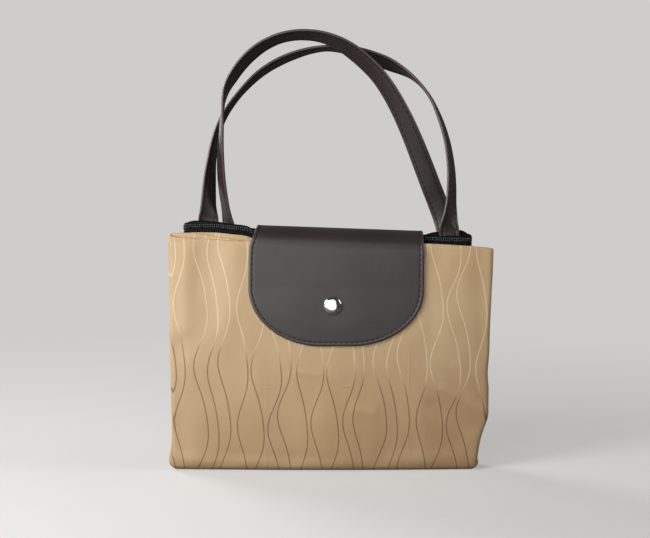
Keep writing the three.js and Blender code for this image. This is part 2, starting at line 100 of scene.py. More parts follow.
def add_node(tree, kind, fed=(), **settings):
    """Node with these settings; fed has a socket or plain value for its inputs, by name or number."""
    node = tree.nodes.new(kind)
    for name, value in settings.items():
        setattr(node, name, value)
    for socket, value in dict(fed).items():
        feed(tree, node.inputs[socket], value)
    return node


def ramp(tree, value, low, high, out_low=0.0, out_high=1.0):
    """Smooth step of a value between two limits."""
    fed = {"Value": value, "From Min": low, "From Max": high, "To Min": out_low, "To Max": out_high}
    return add_node(tree, "ShaderNodeMapRange", fed, interpolation_type="SMOOTHSTEP").outputs["Result"]


def own_place(tree):
    """The piece's own coordinates, in metres."""
    return add_node(tree, "ShaderNodeTexCoord").outputs["Object"]


def seen_or_lit(tree, lit, seen):
    """Shader that shows one shader to the camera, and lights the scene with another."""
    camera_ray = add_node(tree, "ShaderNodeLightPath").outputs["Is Camera Ray"]
    return add_node(tree, "ShaderNodeMixShader", {0: camera_ray, 1: lit, 2: seen}).outputs["Shader"]


backdrop_tone = (0.62, 0.61, 0.60, 1)
floor_paint, tree, shader = new_material("pale_floor", (0.10, 0.10, 0.10, 1), 0.6, Specular_IOR_Level=0.2)
reach = add_node(tree, "ShaderNodeVectorMath", {0: own_place(tree)}, operation="LENGTH").outputs["Value"]
fade = ramp(tree, reach, 0.25, 0.95, 0.45)
near = add_node(tree, "ShaderNodeBsdfDiffuse", {"Color": (0.88, 0.87, 0.85, 1)}).outputs["BSDF"]
far = add_node(tree, "ShaderNodeEmission", {"Color": backdrop_tone}).outputs["Emission"]
near_far = add_node(tree, "ShaderNodeMixShader", {0: fade, 1: near, 2: far}).outputs["Shader"]
floor_look = seen_or_lit(tree, shader.outputs["BSDF"], near_far)
tree.links.new(floor_look, tree.nodes["Material Output"].inputs["Surface"])
floor_half = 4000
floor_corners = [(x * floor_half, y * floor_half, 0) for x, y in ((-1, -1), (1, -1), (1, 1), (-1, 1))]
floor = new_piece("floor", floor_corners, [(0, 1, 2, 3)], floor_paint)

world = bpy.data.worlds.new("studio")
world.use_nodes = True
sky = world.node_tree
room_light = sky.nodes["Background"]
room_light.inputs["Color"].default_value = (0.84, 0.82, 0.82, 1)
room_light.inputs["Strength"].default_value = 0.07
backdrop = add_node(sky, "ShaderNodeBackground", {"Color": backdrop_tone}).outputs["Background"]
sky_look = seen_or_lit(sky, room_light.outputs["Background"], backdrop)
sky.links.new(sky_look, sky.nodes["World Output"].inputs["Surface"])
scene.world = world

# Soft boxes: name, place, the point it faces, width and height, power in watts
soft_boxes = [
    ("key", (-0.74, -0.58, 0.62), (0, 0, 0.15), (0.45, 0.5), 8.4),
    ("front", (-0.50, -1.65, 0.48), (0, 0, 0.18), (1.6, 1.25), 13.8),
    ("left_low", (-1.05, -0.80, 0.14), (0.05, 0, 0.3), (0.5, 0.22), 1.6),
    ("right", (1.30, -0.22, 0.84), (0.05, 0, 0.25), (0.45, 0.8), 5),
    ("left_back", (-1.35, 1.25, 0.80), (0, 0, 0.15), (0.8, 0.8), 24),
]
for name, place, target, size, power in soft_boxes:
    lamp = bpy.data.lights.new(name, "AREA")
    lamp.shape = "RECTANGLE"
    lamp.size, lamp.size_y = size
    lamp.energy = power
    light = bpy.data.objects.new(name, lamp)
    light.location = place
    light.rotation_euler = (Vector(target) - Vector(place)).to_track_quat("-Z", "Y").to_euler()
    scene.collection.objects.link(light)


# Bag cloth
# One flat pouch of smooth beige synthetic cloth, sewn at its two sides and its end, with a zip in its mouth.
# Its side wings are folded forwards, then its lower half is folded up in front. A fine plain weave
# carries thin wavy threads with a painted sheen: they are painted pale where the cloth leans back and
# brown where it leans forwards.

sheet_thick = 0.7
pouch_half = 1.8  # from the pouch's middle to its outer face
wing_length = 68
wing_pitch = 4.4  # from the main layer's middle to the wings' middle
wing_pitch_top = 8.0  # the same at the mouth, where the front handle's ends lie between them
pocket_low, pocket_high = 140, 160  # heights between which the one becomes the other
fold_radius = 5  # of the base's outer corners
inner_fold_depth = 8  # of the wings' inner faces, over the base
inner_fold_radius = 2.5
front_top = -11.5
front_crest_edge = -16
front_crest_swell = 5
front_base_edge = -12.8
front_base_swell = 5.2
crest_height = 97
crest_slant = -0.19
swell_half_width = 150
back_top = 9.5
back_swell = 3.5
back_swell_height = 120
top_line = 205  # height at which both faces begin
end_middle = 200  # rough height of the folded-up end
end_round = 1.2  # how far the folded end swells over its last row
ridge_share = 1.15

# Side edges by height: height, left, right
front_edges = [
    (0, -136.5, 134.8), (3.5, -139.6, 137.3), (7, -139.8, 136.4), (14, -138, 137), (25, -136.9, 138.8),
    (52, -137, 145.6), (72, -137.2, 145.6), (86, -137.3, 144.6), (108, -137.5, 145.9), (126, -137.7, 146.3),
    (192, -138.5, 148.9), (212, -138.7, 149.3),
]
back_edges = [
    (0, -136.5, 134.8), (5, -137.5, 136), (50, -134.5, 137), (110, -131, 135), (170, -127.5, 132),
    (212, -126, 131),
]

# Height of the folded-up end by x, on the main layer and on each wing
end_main = [(-138, 208.3), (-127, 206.7), (-64, 203.6), (88, 201.2), (128, 199.1), (149, 197.2)]
end_left_wing = [(-136, 210.3), (-120, 210.6), (-92, 206.5), (-65, 203)]
end_right_wing = [(75, 197.5), (147, 196.4)]

# Height of the mouth and of the zip's upper edge by x
mouth_main = [
    (-126, 209.5, 219), (-84, 208, 217), (-60, 205.2, 214.6), (0, 203, 212.4), (87, 199.8, 209),
    (97, 202, 211.4), (110, 203, 212.8), (121, 203.4, 213.3), (128, 200.7, 210.4),
]
mouth_left_wing = [
    (-123, 211.4, 220.8), (-116, 211.8, 222.3), (-98, 211.6, 221.5), (-84, 210.2, 219.4), (-70, 208.6, 217.7),
    (-62, 205.4, 214), (-55, 204.2, 212.9),
]
mouth_right_wing = [(60, 197.4, 206.6), (88, 200.2, 208.3), (112, 199.4, 208.7), (128, 199.2, 208.7)]


def smooth_line(table, column=1):
    """Function that runs smoothly through a table's column, by its first column, with no overshoot."""
    x = np.array([row[0] for row in table], float)
    y = np.array([row[column] for row in table], float)
    step = np.diff(x)
    grade = np.diff(y) / step
    slope = np.zeros(len(x))
    slope[0], slope[-1] = grade[0], grade[-1]
    for i in range(1, len(x) - 1):
        if grade[i - 1] * grade[i] > 0:
            a, b = 2 * step[i] + step[i - 1], step[i] + 2 * step[i - 1]
            slope[i] = (a + b) / (a / grade[i - 1] + b / grade[i])

    def at(place):
        p = np.clip(np.asarray(place, float), x[0], x[-1])
        i = np.clip(np.searchsorted(x, p, side="right") - 1, 0, len(step) - 1)
        t = (p - x[i]) / step[i]
        rise = t * t * (3 - 2 * t)
        ease = t * (1 - t)
        return y[i] + (y[i + 1] - y[i]) * rise + step[i] * ease * (slope[i] * (1 - t) - slope[i + 1] * t)

    return at


def length_along(points):
    """Length along rows of points, from the first row."""
    steps = np.linalg.norm(np.diff(points, axis=0), axis=-1)
    return np.concatenate([0 * steps[:1], np.cumsum(steps, 0)])


def unit(vectors):
    return vectors / np.linalg.norm(vectors, axis=-1, keepdims=True)


def bump(place, centre, width):
    """Rounded hill, 1 at its centre."""
    return np.exp(-(((place - centre) / width) ** 2))


def ease(value, low, high):
    t = np.clip((value - low) / (high - low), 0, 1)
    return t * t * (3 - 2 * t)


def crest_at(x):
    return crest_height + crest_slant * x


def front_face(x, z):
    """Depth y of the folded-up front, fullest along a slanting line."""
    middle = np.maximum(0, 1 - (x / swell_half_width) ** 2)
    crest_z = crest_at(x)
    crest = front_crest_edge - front_crest_swell * middle
    base = front_base_edge - front_base_swell * middle
    above = np.clip((top_line - z) / (top_line - crest_z), 0, 1)
    upper = front_top + (crest - front_top) * np.sin(np.pi / 2 * above)
    lower = base + (crest - base) * np.sin(np.pi / 2 * np.clip(z / crest_z, -0.2, 1))
    return np.where(z > crest_z, upper, lower)


def back_face(z):
    f = np.clip((top_line - z) / back_swell_height, 0, 1)
    return back_top + back_swell * np.sin(np.pi / 2 * f)


def soft_noise(x, z, size, seed):
    flat = [noise.noise(Vector((a / size, b / size, seed))) for a, b in zip(np.ravel(x), np.ravel(z))]
    return np.array(flat).reshape(np.shape(x))


def slow_relief(x, z, waves):
    """Sum of soft noises, one for each row of a table."""
    return sum(
        height * soft_noise(x * wide, z * tall, size, seed) for height, wide, tall, size, seed in waves
    )


# Unevenness of each face: height, then stretch across and up, size and seed of its noise
front_waves = [(0.85, 1, 1, 62, 3.1), (0.5, 1.5, 1, 27, 8.4)]
back_waves = [(0.8, 1, 1, 66, 21.7), (0.4, 1, 0.8, 29, 33.2)]

# Soft ridges and hollows of the front: from x, z to x, z, half width and height outwards
front_ridges = [
    (-122, 205, -124, 128, 8, 1.2), (-103, 204, -100, 140, 11, -0.9), (-78, 200, -86, 138, 10, 0.7),
    (100, 200, 92, 150, 9, -0.5), (122, 196, 120, 140, 12, 0.5), (137, 196, 139, 110, 6, -0.5),
    (104, 74, 146, 50, 4, 0.9), (96, 60, 140, 36, 7, -0.8), (-25, 90, -8, 87, 2.5, 0.5),
    (28, 55, 42, 52, 5, 0.5), (-132, 110, -128, 20, 7, -0.6), (-118, 96, -112, 10, 9, 0.5),
    (-60, 92, -66, 8, 14, 0.6), (-36, 70, -30, 6, 12, -0.5), (6, 84, 12, 8, 14, 0.5),
    (60, 78, 52, 6, 13, -0.6), (84, 70, 88, 6, 10, 0.6), (118, 96, 132, 70, 5, 0.5),
    (-134, 12, -100, 5, 5, 0.5), (60, 9, 120, 14, 6, 0.5), (-90, 16, 10, 11, 5, -0.4),
    (132, 30, 138, 4, 6, 0.7),
]


def segment_distance(x, z, x1, z1, x2, z2):
    dx, dz = x2 - x1, z2 - z1
    t = np.clip(((x - x1) * dx + (z - z1) * dz) / (dx * dx + dz * dz), 0, 1)
    return np.hypot(x - x1 - t * dx, z - z1 - t * dz)


def front_relief(x, z):
    """How far the front stands out from its plain shape."""
    out = slow_relief(x, z, front_waves)
    for x1, z1, x2, z2, width, height in front_ridges:
        out = out + ridge_share * height * bump(segment_distance(x, z, x1, z1, x2, z2), 0, width)
    under_flap = ease(z, 106, 118) * ease(x, -76, -64) * ease(-x, -96, -84)
    return out * (1 - 0.8 * under_flap) * ease(z, 0.5, 10) * (1 - 0.6 * ease(z, 196, 206))


def back_relief(x, z):
    out = slow_relief(x, z, back_waves)
    out = out + 0.7 * bump(x, -46 + 0.1 * z, 12) - 0.6 * bump(x, 38 - 0.12 * z, 14) + 0.5 * bump(z, 74, 9)
    near_handles = ease(z, 140, 160)
    return out * (1 - 0.85 * near_handles) * ease(z, 0.5, 10)


# Samples across the folded pouch, from the left wing's seam to the right wing's seam: zone, side, share
on_wing, on_turn = np.linspace(0, 1, 17), np.linspace(0, 1, 11)
samples = [
    (name, at_side, f)
    for name, at_side, places in (
        ("wing", -1, on_wing[:-1]), ("turn", -1, on_turn[:-1]), ("main", 0, np.linspace(0, 1, 126)),
        ("turn", 1, on_turn[1:]), ("wing", 1, on_wing[1:]),
    )
    for f in places
]
zone, side, share = (np.array(column) for column in zip(*samples))
is_main, is_turn, is_wing, is_left = zone == "main", zone == "turn", zone == "wing", side < 0

# Rows along the pouch, from the mouth down the back, round the base and up the front: wall, share
in_corner = np.linspace(0, 1, 7)[1:-1]
rows = [
    (wall, f)
    for wall, places in (
        ("back", np.linspace(0, 1, 41)), ("back_corner", in_corner), ("base", (0, 0.5, 1)),
        ("front_corner", in_corner), ("front", np.linspace(0, 1, 91)),
    )
    for f in places
]

front_sides = [smooth_line(front_edges, column) for column in (1, 2)]
back_sides = [smooth_line(back_edges, column) for column in (1, 2)]


def height_along(x, main, left_wing, right_wing, column=1):
    """Height by x on the main layer, through the turns and on the wings."""
    on_main = smooth_line(main, column)(x)
    on_wing = np.where(is_left, smooth_line(left_wing, column)(x), smooth_line(right_wing, column)(x))
    through = np.where(is_left, 1 - share, share)
    turned = on_main + (on_wing - on_main) * through
    return np.where(is_main, on_main, np.where(is_wing, on_wing, turned))


def mouth_height(x, column=1):
    return height_along(x, mouth_main, mouth_left_wing, mouth_right_wing, column)


def end_height(x):
    return height_along(x, end_main, end_left_wing, end_right_wing)


mouth_middle = mouth_height(np.zeros(len(samples)))


def pouch_row(wall, f, offset, seam_back=0.0, lift=0.0):
    """One row of the pouch: its points, and the cloth's own place across, for a face at this offset."""
    on_back = wall == "back"
    up = 1 - f if on_back else f if wall == "front" else 0
    top = mouth_middle if on_back else end_middle
    rough_z = fold_radius + (top - fold_radius) * up * np.ones(len(samples))
    if wall == "base":
        edge_z = 0 * rough_z
    elif wall.endswith("corner"):
        turned = f if wall == "back_corner" else 1 - f
        edge_z = fold_radius * (1 - math.sin(math.pi / 2 * turned)) + 0 * rough_z
    else:
        edge_z = rough_z
    left, right = (edge(edge_z) for edge in (back_sides if wall.startswith("back") else front_sides))
    opened = np.clip((rough_z - pocket_low) / (pocket_high - pocket_low), 0, 1) if on_back else 0
    pitch = wing_pitch + (wing_pitch_top - wing_pitch) * opened
    radius = pitch / 2
    main_left, main_right = left + radius + pouch_half, right - radius - pouch_half
    fold = np.where(is_left, main_left, main_right)
    angle = math.pi * np.where(is_left, 1 - share, share)
    from_fold = (wing_length - seam_back) * np.where(is_left, 1 - share, share)
    nx = np.where(is_turn, side * np.sin(angle), 0)
    nd = np.where(is_main, -1, np.where(is_turn, -np.cos(angle), 1))
    x = np.where(is_main, main_left + (main_right - main_left) * share, fold + radius * nx)
    x = np.where(is_wing, fold - side * from_fold, x) + nx * offset
    depth = np.where(is_main, 0, np.where(is_turn, radius - radius * np.cos(angle), pitch))
    depth = pouch_half + depth + nd * offset
    cloth_x = np.where(is_main, main_left + (main_right - main_left) * share, fold + side * radius * angle)
    cloth_x = np.where(is_wing, fold + side * (radius * math.pi + from_fold), cloth_x)
    return place_in_wall(wall, f, x, depth, lift), cloth_x


def place_in_wall(wall, f, x, depth, lift):
    part = depth / inner_fold_depth
    corner_top = fold_radius + (inner_fold_depth + inner_fold_radius - fold_radius) * part
    if wall == "back":
        z = mouth_height(x) * (1 - f) + corner_top * f
        return np.stack([x, back_face(z) - depth + back_relief(x, z), z], 1)
    if wall == "front":
        z = corner_top * (1 - f) + (end_height(x) + lift) * f
        return np.stack([x, front_face(x, z) + depth - front_relief(x, z), z], 1)
    back, front = float(back_face(fold_radius)), front_face(x, 0 * x + fold_radius)
    inset = inner_fold_depth + inner_fold_radius
    back_outer, front_outer = back - fold_radius, front + fold_radius
    back_inner, front_inner = back - inset, front + inset
    if wall == "base":
        outer = (back_outer + (front_outer - back_outer) * f, 0)
        inner = (back_inner + (front_inner - back_inner) * f, inner_fold_depth)
    else:
        at_back = wall == "back_corner"
        angle = math.pi / 2 * (f if at_back else 1 - f)
        way = 1 if at_back else -1
        c, s = math.cos(angle), math.sin(angle)
        outer_y, inner_y = (back_outer, back_inner) if at_back else (front_outer, front_inner)
        outer = (outer_y + way * fold_radius * c, fold_radius * (1 - s))
        inner = (inner_y + way * inner_fold_radius * c, inset - inner_fold_radius * s)
    y = outer[0] + (inner[0] - outer[0]) * part
    z = outer[1] + (inner[1] - outer[1]) * part
    return np.stack([x, y, z], 1)


def pouch_ring(wall, f, half, seam_back=0.0, lift=0.0):
    out, cloth_out = pouch_row(wall, f, half, seam_back, lift)
    back, cloth_back = pouch_row(wall, f, -half, seam_back, lift)
    return np.concatenate([out, back[::-1]]), np.concatenate([cloth_out, cloth_back[::-1]])


outer_rings = [pouch_ring(wall, f, pouch_half) for wall, f in rows]
for turn in (25, 50, 70, 84):
    closing = math.radians(turn)
    half, lift = pouch_half * math.cos(closing), end_round * math.sin(closing)
    outer_rings.append(pouch_ring("front", 1, half, 0, lift))
inner_half = pouch_half - sheet_thick
inner_rows = [row for i, row in enumerate(rows) if i % 2 == 0 or row[0] not in ("back", "front")]
inner_rings = [
    pouch_ring(wall, f, inner_half, sheet_thick, -sheet_thick if (wall, f) == ("front", 1) else 0)
    for wall, f in inner_rows
]
ring_size = 2 * len(samples)


def ring_faces(first, rings, count, flip=False):
    faces = []
    for i in range(rings - 1):
        for j in range(count):
            k = (j + 1) % count
            low, high = first + i * count, first + (i + 1) * count
            face = (low + j, low + k, high + k, high + j)
            faces.append(face[::-1] if flip else face)
    return faces


def closing_faces(start, count, flip=False):
    """Closes one flat ring across, from its first half to its second half."""
    last = start + count - 1
    faces = [(start + j, start + j + 1, last - 1 - j, last - j) for j in range(count // 2 - 1)]
    return [face[::-1] for face in faces] if flip else faces


inner_first = len(outer_rings) * ring_size
cloth_faces = ring_faces(0, len(outer_rings), ring_size)
cloth_faces += closing_faces(inner_first - ring_size, ring_size)
cloth_faces += ring_faces(inner_first, len(inner_rings), ring_size, True)
inner_last = inner_first + (len(inner_rings) - 1) * ring_size
cloth_faces += closing_faces(inner_last, ring_size, True)
for j in range(ring_size):
    k = (j + 1) % ring_size
    cloth_faces.append((j, inner_first + j, inner_first + k, k))
cloth_rings = outer_rings + inner_rings
cloth_points = np.concatenate([points for points, _ in cloth_rings])


def facing_out(points, faces):
    """The faces of a closed mesh, turned over where they enclose it inside out."""
    p = np.asarray(points)
    volume = 0.0
    for face in faces:
        for b, c in zip(face[1:-1], face[2:]):
            volume += np.dot(p[face[0]], np.cross(p[b], p[c]))
    return [face[::-1] for face in faces] if volume < 0 else faces


cloth_faces = facing_out(cloth_points, cloth_faces)

# The cloth's own flat coordinates, across and along, and how far each place leans back, which sets the
# threads' painted sheen. The two panels lie apart in them, so that their threads differ.
panel_apart = 700
second_panel = np.tile(np.repeat([0, 1], len(samples)), len(cloth_rings))
cloth_across = np.concatenate([across for _, across in cloth_rings]) + panel_apart * second_panel
cloth_along = np.concatenate([
    length_along(np.stack([points for points, _ in rings])).ravel() for rings in (outer_rings, inner_rings)
])
on_front = cloth_points[:, 1] < -2
lean_front = ease(cloth_points[:, 2] - crest_at(cloth_points[:, 0]), -16, 14)
lean_back = ease(cloth_points[:, 2], 120, 175)
# Painted sheen of the threads: pale where the cloth leans back, brown where it leans forwards
painted_thread_sheen = np.where(on_front, lean_front, lean_back)


def maths(tree, kind, *values):
    """Math node on sockets or plain numbers; returns its output."""
    return add_node(tree, "ShaderNodeMath", enumerate(values), operation=kind).outputs[0]


def mix(tree, factor, first, second):
    """Colour mix; each of its three values is a socket or a plain value."""
    return add_node(tree, "ShaderNodeMix", {0: factor, 6: first, 7: second}, data_type="RGBA").outputs[2]


def noise_at(tree, scale, detail, stretch=None):
    """Noise texture on the piece's own coordinates."""
    place = own_place(tree)
    if stretch is not None:
        place = add_node(tree, "ShaderNodeMapping", {"Vector": place, "Scale": stretch}).outputs["Vector"]
    fed = {"Vector": place, "Scale": scale, "Detail": detail}
    return add_node(tree, "ShaderNodeTexNoise", fed).outputs["Fac"]


def add_bump(tree, height, distance, strength, before=None):
    """Bump node, on top of the normal of another one; returns its normal."""
    fed = {"Height": height, "Distance": distance, "Strength": strength}
    if before is not None:
        fed["Normal"] = before
    return add_node(tree, "ShaderNodeBump", fed).outputs["Normal"]


def flat_place(tree, uv_map):
    """The piece's own flat coordinates: the UV, its axes in metres, and both axes in millimetres."""
    place = add_node(tree, "ShaderNodeUVMap", uv_map=uv_map).outputs["UV"]
    axes = add_node(tree, "ShaderNodeSeparateXYZ", {"Vector": place}).outputs
    return place, axes, maths(tree, "MULTIPLY", axes["X"], 1000.0), maths(tree, "MULTIPLY", axes["Y"], 1000.0)


def wire(tree, shader, colour, roughness=None, normal=None):
    """Feeds a Principled shader's colour, and its roughness and normal where they are given."""
    for socket, value in (("Base Color", colour), ("Roughness", roughness), ("Normal", normal)):
        if value is not None:
            tree.links.new(value, shader.inputs[socket])


def new_group(name, inputs, outputs):
    """Shader node group with number inputs (name, value) and number outputs; returns its tree, in and out."""
    tree = bpy.data.node_groups.new(name, "ShaderNodeTree")
    new_socket = partial(tree.interface.new_socket, socket_type="NodeSocketFloat")
    for socket, value in inputs:
        new_socket(name=socket, in_out="INPUT").default_value = value
    for socket in outputs:
        new_socket(name=socket, in_out="OUTPUT")
    return tree, tree.nodes.new("NodeGroupInput").outputs, tree.nodes.new("NodeGroupOutput").inputs


def use_group(tree, group, **values):
    return add_node(tree, "ShaderNodeGroup", values, node_tree=group).outputs


# The cloth's pattern repeats every twelve threads. Neighbours swing together or against each other, stand
# closer or further apart to suit, and never touch.
thread_spacing = 13.2
thread_wave = 106
thread_repeat = 12
second_swing, second_phase = 0.16, 0.9  # a wave of half the length makes the threads a little uneven
least_gap = 2.2
chance = np.random.default_rng(3)
for _ in range(200):
    turned_over = chance.integers(0, 2, thread_repeat)
    thread_phase = math.pi * turned_over + chance.uniform(-0.5, 0.5, thread_repeat) + 1.2
    thread_swing = chance.uniform(4.4, 6.2, thread_repeat)
    against = turned_over != np.roll(turned_over, -1)
    push = np.where(against, 1.3, -1.3)
    thread_shift = np.roll(push, 1) - push + chance.uniform(-1.0, 1.0, thread_repeat)
    turns = np.linspace(0, 2 * math.pi, 60)[:, None] + thread_phase
    swung = thread_swing * (np.sin(turns) + second_swing * np.sin(2 * turns + second_phase)) + thread_shift
    gaps = np.roll(swung, -1, 1) - swung + thread_spacing
    three_together = ~(against | np.roll(against, 1) | np.roll(against, 2))
    if gaps.min() > least_gap and against.sum() >= thread_repeat / 2 and not three_together.any():
        break

# One wavy thread: its distance from a place of the cloth. A stepped colour ramp holds each thread's shift,
# phase and swing, scaled by these spans to fit a colour.
shift_span, phase_span, swing_span = 20.0, 8.0, 10.0
wave_group, given, result = new_group("wavy_thread", [("U", 0), ("V", 0), ("Neighbour", 0)], ["Distance"])
calc = partial(maths, wave_group)
cell = calc("ADD", calc("FLOOR", calc("DIVIDE", given["U"], thread_spacing)), given["Neighbour"])
cell_middle = calc("ADD", cell, 0.5)
in_repeat = calc("FRACT", calc("DIVIDE", cell_middle, float(thread_repeat)))
threads = add_node(wave_group, "ShaderNodeValToRGB", {"Fac": in_repeat})
threads.color_ramp.interpolation = "CONSTANT"
stops = threads.color_ramp.elements
for i in range(thread_repeat):
    stop = stops[i] if i < 2 else stops.new(i / thread_repeat)
    stop.position = i / thread_repeat
for stop, shift, phase, swing in zip(stops, thread_shift, thread_phase, thread_swing):
    stop.color = (0.5 + shift / shift_span, (phase + 1) / phase_span, swing / swing_span, 1)
parts = add_node(wave_group, "ShaderNodeSeparateColor", {"Color": threads.outputs["Color"]}).outputs
phase = calc("MULTIPLY_ADD", parts["Green"], phase_span, -1.0)
angle = calc("MULTIPLY_ADD", given["V"], 2 * math.pi / thread_wave, phase)
second = calc("SINE", calc("MULTIPLY_ADD", angle, 2.0, second_phase))
swing = calc("MULTIPLY_ADD", second, second_swing, calc("SINE", angle))
swing = calc("MULTIPLY", swing, calc("MULTIPLY", parts["Blue"], swing_span))
shift = calc("MULTIPLY_ADD", parts["Red"], shift_span, -shift_span / 2)
home = calc("MULTIPLY", cell_middle, thread_spacing)
centre = calc("ADD", calc("ADD", home, shift), swing)
feed(wave_group, result["Distance"], calc("ABSOLUTE", calc("SUBTRACT", given["U"], centre)))

# Plain weave: height of its threads from the cloth's own coordinates
weave_group, given, result = new_group("plain_weave", [("U", 0), ("V", 0), ("Pitch", 0.8)], ["Height"])
calc = partial(maths, weave_group)
warp, weft = (
    calc("SINE", calc("MULTIPLY", calc("DIVIDE", given[axis], given["Pitch"]), 2 * math.pi)) for axis in "UV"
)
feed(weave_group, result["Height"], calc("MULTIPLY_ADD", calc("MULTIPLY", warp, weft), 0.5, 0.5))

cloth_material, tree, shader = new_material(
    "beige_cloth", linear(208, 178, 132), 0.5, Sheen_Weight=0.12, Sheen_Roughness=0.4, Specular_IOR_Level=0.42
)
calc = partial(maths, tree)
cloth_uv, axes, across_mm, along_mm = flat_place(tree, "cloth")
distances = [
    use_group(tree, wave_group, U=across_mm, V=along_mm, Neighbour=step)["Distance"]
    for step in (-1.0, 0.0, 1.0)
]
nearest = calc("MINIMUM", calc("MINIMUM", distances[0], distances[1]), distances[2])
knot_pitch = 1.5
knots = calc("SINE", calc("MULTIPLY", along_mm, 2 * math.pi / knot_pitch))
thread = calc("MULTIPLY", ramp(tree, nearest, 0.26, 0.80, 1.0, 0.0), calc("MULTIPLY_ADD", knots, 0.14, 0.86))
weave = use_group(tree, weave_group, U=across_mm, V=along_mm)["Height"]
painted_sheen = add_node(tree, "ShaderNodeAttribute", attribute_name="painted_thread_sheen").outputs["Fac"]
clouds = ramp(tree, noise_at(tree, 9, 4), 0.3, 0.7)
warm = ramp(tree, noise_at(tree, 26, 2, (1, 1, 0.35)), 0.35, 0.75)
on_bag = add_node(tree, "ShaderNodeSeparateXYZ", {"Vector": own_place(tree)}).outputs
# Painted shade: the cloth is painted darker towards its lower right, where less light falls
painted_shade_lower_right = calc("MULTIPLY_ADD", on_bag["X"], 0.5, calc("MULTIPLY", on_bag["Z"], -1.0))
ground = mix(tree, clouds, linear(196, 166, 126), linear(207, 179, 140))
for share_of_tone, tone in (
    (calc("MULTIPLY", warm, 0.35), linear(190, 153, 108)),
    (calc("MULTIPLY", weave, 0.10), linear(150, 118, 78)),
    # Painted shade: darker towards the lower right
    (ramp(tree, painted_shade_lower_right, -0.14, 0.06, 0.0, 0.42), linear(146, 110, 72)),
    # Painted shade: darker along the bottom edge, where the cloth turns under
    (ramp(tree, on_bag["Z"], 0.0, 0.012, 0.42, 0.0), linear(128, 96, 64)),
):
    ground = mix(tree, share_of_tone, ground, tone)
# Painted sheen: the threads are painted cream where the cloth leans back and brown where it leans forwards,
# and show a little less where they are pale
painted_sheen_line_colour = mix(tree, painted_sheen, linear(116, 76, 42), linear(238, 218, 184))
thread_show = calc("MULTIPLY", thread, calc("MULTIPLY_ADD", painted_sheen, -0.22, 0.80))
rough = calc("MULTIPLY_ADD", thread, -0.14, calc("MULTIPLY_ADD", clouds, 0.08, 0.46))
normal = add_bump(tree, noise_at(tree, 42, 5, (1.6, 1.6, 0.7)), 0.0009, 0.42)

# Pressed creases, each broken by its own noise: axis of the cloth, place along it in metres, noise seed
pressed_in = None
for axis, place, broken in (("Y", 0.137, 5.1), ("Y", 0.307, 7.3), ("X", 0.074, 2.2), ("X", -0.052, 9.4)):
    fed = {"Vector": cloth_uv, "W": broken, "Scale": 30}
    patchy = add_node(tree, "ShaderNodeTexNoise", fed, noise_dimensions="4D").outputs["Fac"]
    wander = calc("MULTIPLY_ADD", clouds, 0.003, place - 0.0015)
    line = ramp(tree, calc("ABSOLUTE", calc("SUBTRACT", axes[axis], wander)), 0.0, 0.0016, 1.0, 0.0)
    line = calc("MULTIPLY", line, ramp(tree, patchy, 0.52, 0.66))
    pressed_in = line if pressed_in is None else calc("MAXIMUM", pressed_in, line)
for height, distance, strength in ((pressed_in, 0.0003, 0.5), (weave, 0.00006, 0.6), (thread, 0.00012, 0.5)):
    normal = add_bump(tree, height, distance, strength, normal)
wire(tree, shader, mix(tree, thread_show, ground, painted_sheen_line_colour), rough, normal)


def store_uv(piece, name, across_values, along_values):
    """Writes a piece's own flat coordinates, in metres, to a UV map."""
    layer = piece.data.uv_layers.new(name=name)
    corners = np.zeros(len(piece.data.loops), np.int32)
    piece.data.loops.foreach_get("vertex_index", corners)
    values = np.stack([np.asarray(across_values)[corners], np.asarray(along_values)[corners]], 1) * 0.001
    layer.data.foreach_set("uv", values.ravel())


def store_number(piece, name, values):
    layer = piece.data.attributes.new(name, "FLOAT", "POINT")
    layer.data.foreach_set("value", np.asarray(values, np.float32))


bag_cloth = new_piece("tote_cloth", cloth_points, cloth_faces, cloth_material)
store_uv(bag_cloth, "cloth", cloth_across, cloth_along)
store_number(bag_cloth, "painted_thread_sheen", painted_thread_sheen)
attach(bag_cloth, "root")
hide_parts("bag_cloth")


# Zip
# A closed coil zip sewn into the mouth and folded with it: black woven tape below and above a band of
# nylon coil. The tape is one band that stands on the mouth, and the coil's loops are set on its outer face.

zip_flat = 1.6
zip_seat = 0.6
coil_low = 2.9
coil_high = 7.4
coil_edge = 1.52  # offset of the coil's loops from the tape's middle
tooth_pitch = 1.65
crest_round = 1.3
below_crest = 1.25

# Profile of the tape: offset from its middle and height over the mouth, which is None on its rounded crest
tape_profile = [
    (1.45, 0.0), (zip_flat, 0.25), (zip_flat, 1.3), (1.5, 1.7), (1.5, 2.3), (1.15, coil_low - 0.1),
    (1.2, coil_low + 0.5), (1.2, coil_high - 0.5), (1.15, coil_high + 0.1),
    (1.35, None), (0.8, None), (0, None), (-0.8, None), (-1.35, None),
    (-1.5, coil_high), (-zip_flat, 5.2), (-1.5, coil_low), (-zip_flat, 0.25), (-1.45, 0.0),
]
zip_rings = []
tape_height = []
for offset, up in tape_profile:
    row_points, _ = pouch_row("back", 0, offset)
    mouth = mouth_height(row_points[:, 0]) + zip_seat
    crest = mouth_height(row_points[:, 0], 2)
    if up is None:
        row_points[:, 2] = crest - crest_round * (abs(offset) / zip_flat) ** 2
    else:
        row_points[:, 2] = np.minimum(mouth + up, crest - below_crest)
    zip_rings.append(row_points)
    tape_height.append(row_points[:, 2] - mouth)
zip_stack = np.stack(zip_rings, 1)
profile_count = len(tape_profile)
tape_points = zip_stack.reshape(-1, 3)
tape_faces = ring_faces(0, len(samples), profile_count)
last_ring = (len(samples) - 1) * profile_count
for j in range(profile_count - 2):
    tape_faces.append((profile_count - 1, j + 1, j))
    tape_faces.append((last_ring + profile_count - 1, last_ring + j, last_ring + j + 1))
tape_faces = facing_out(tape_points, tape_faces)

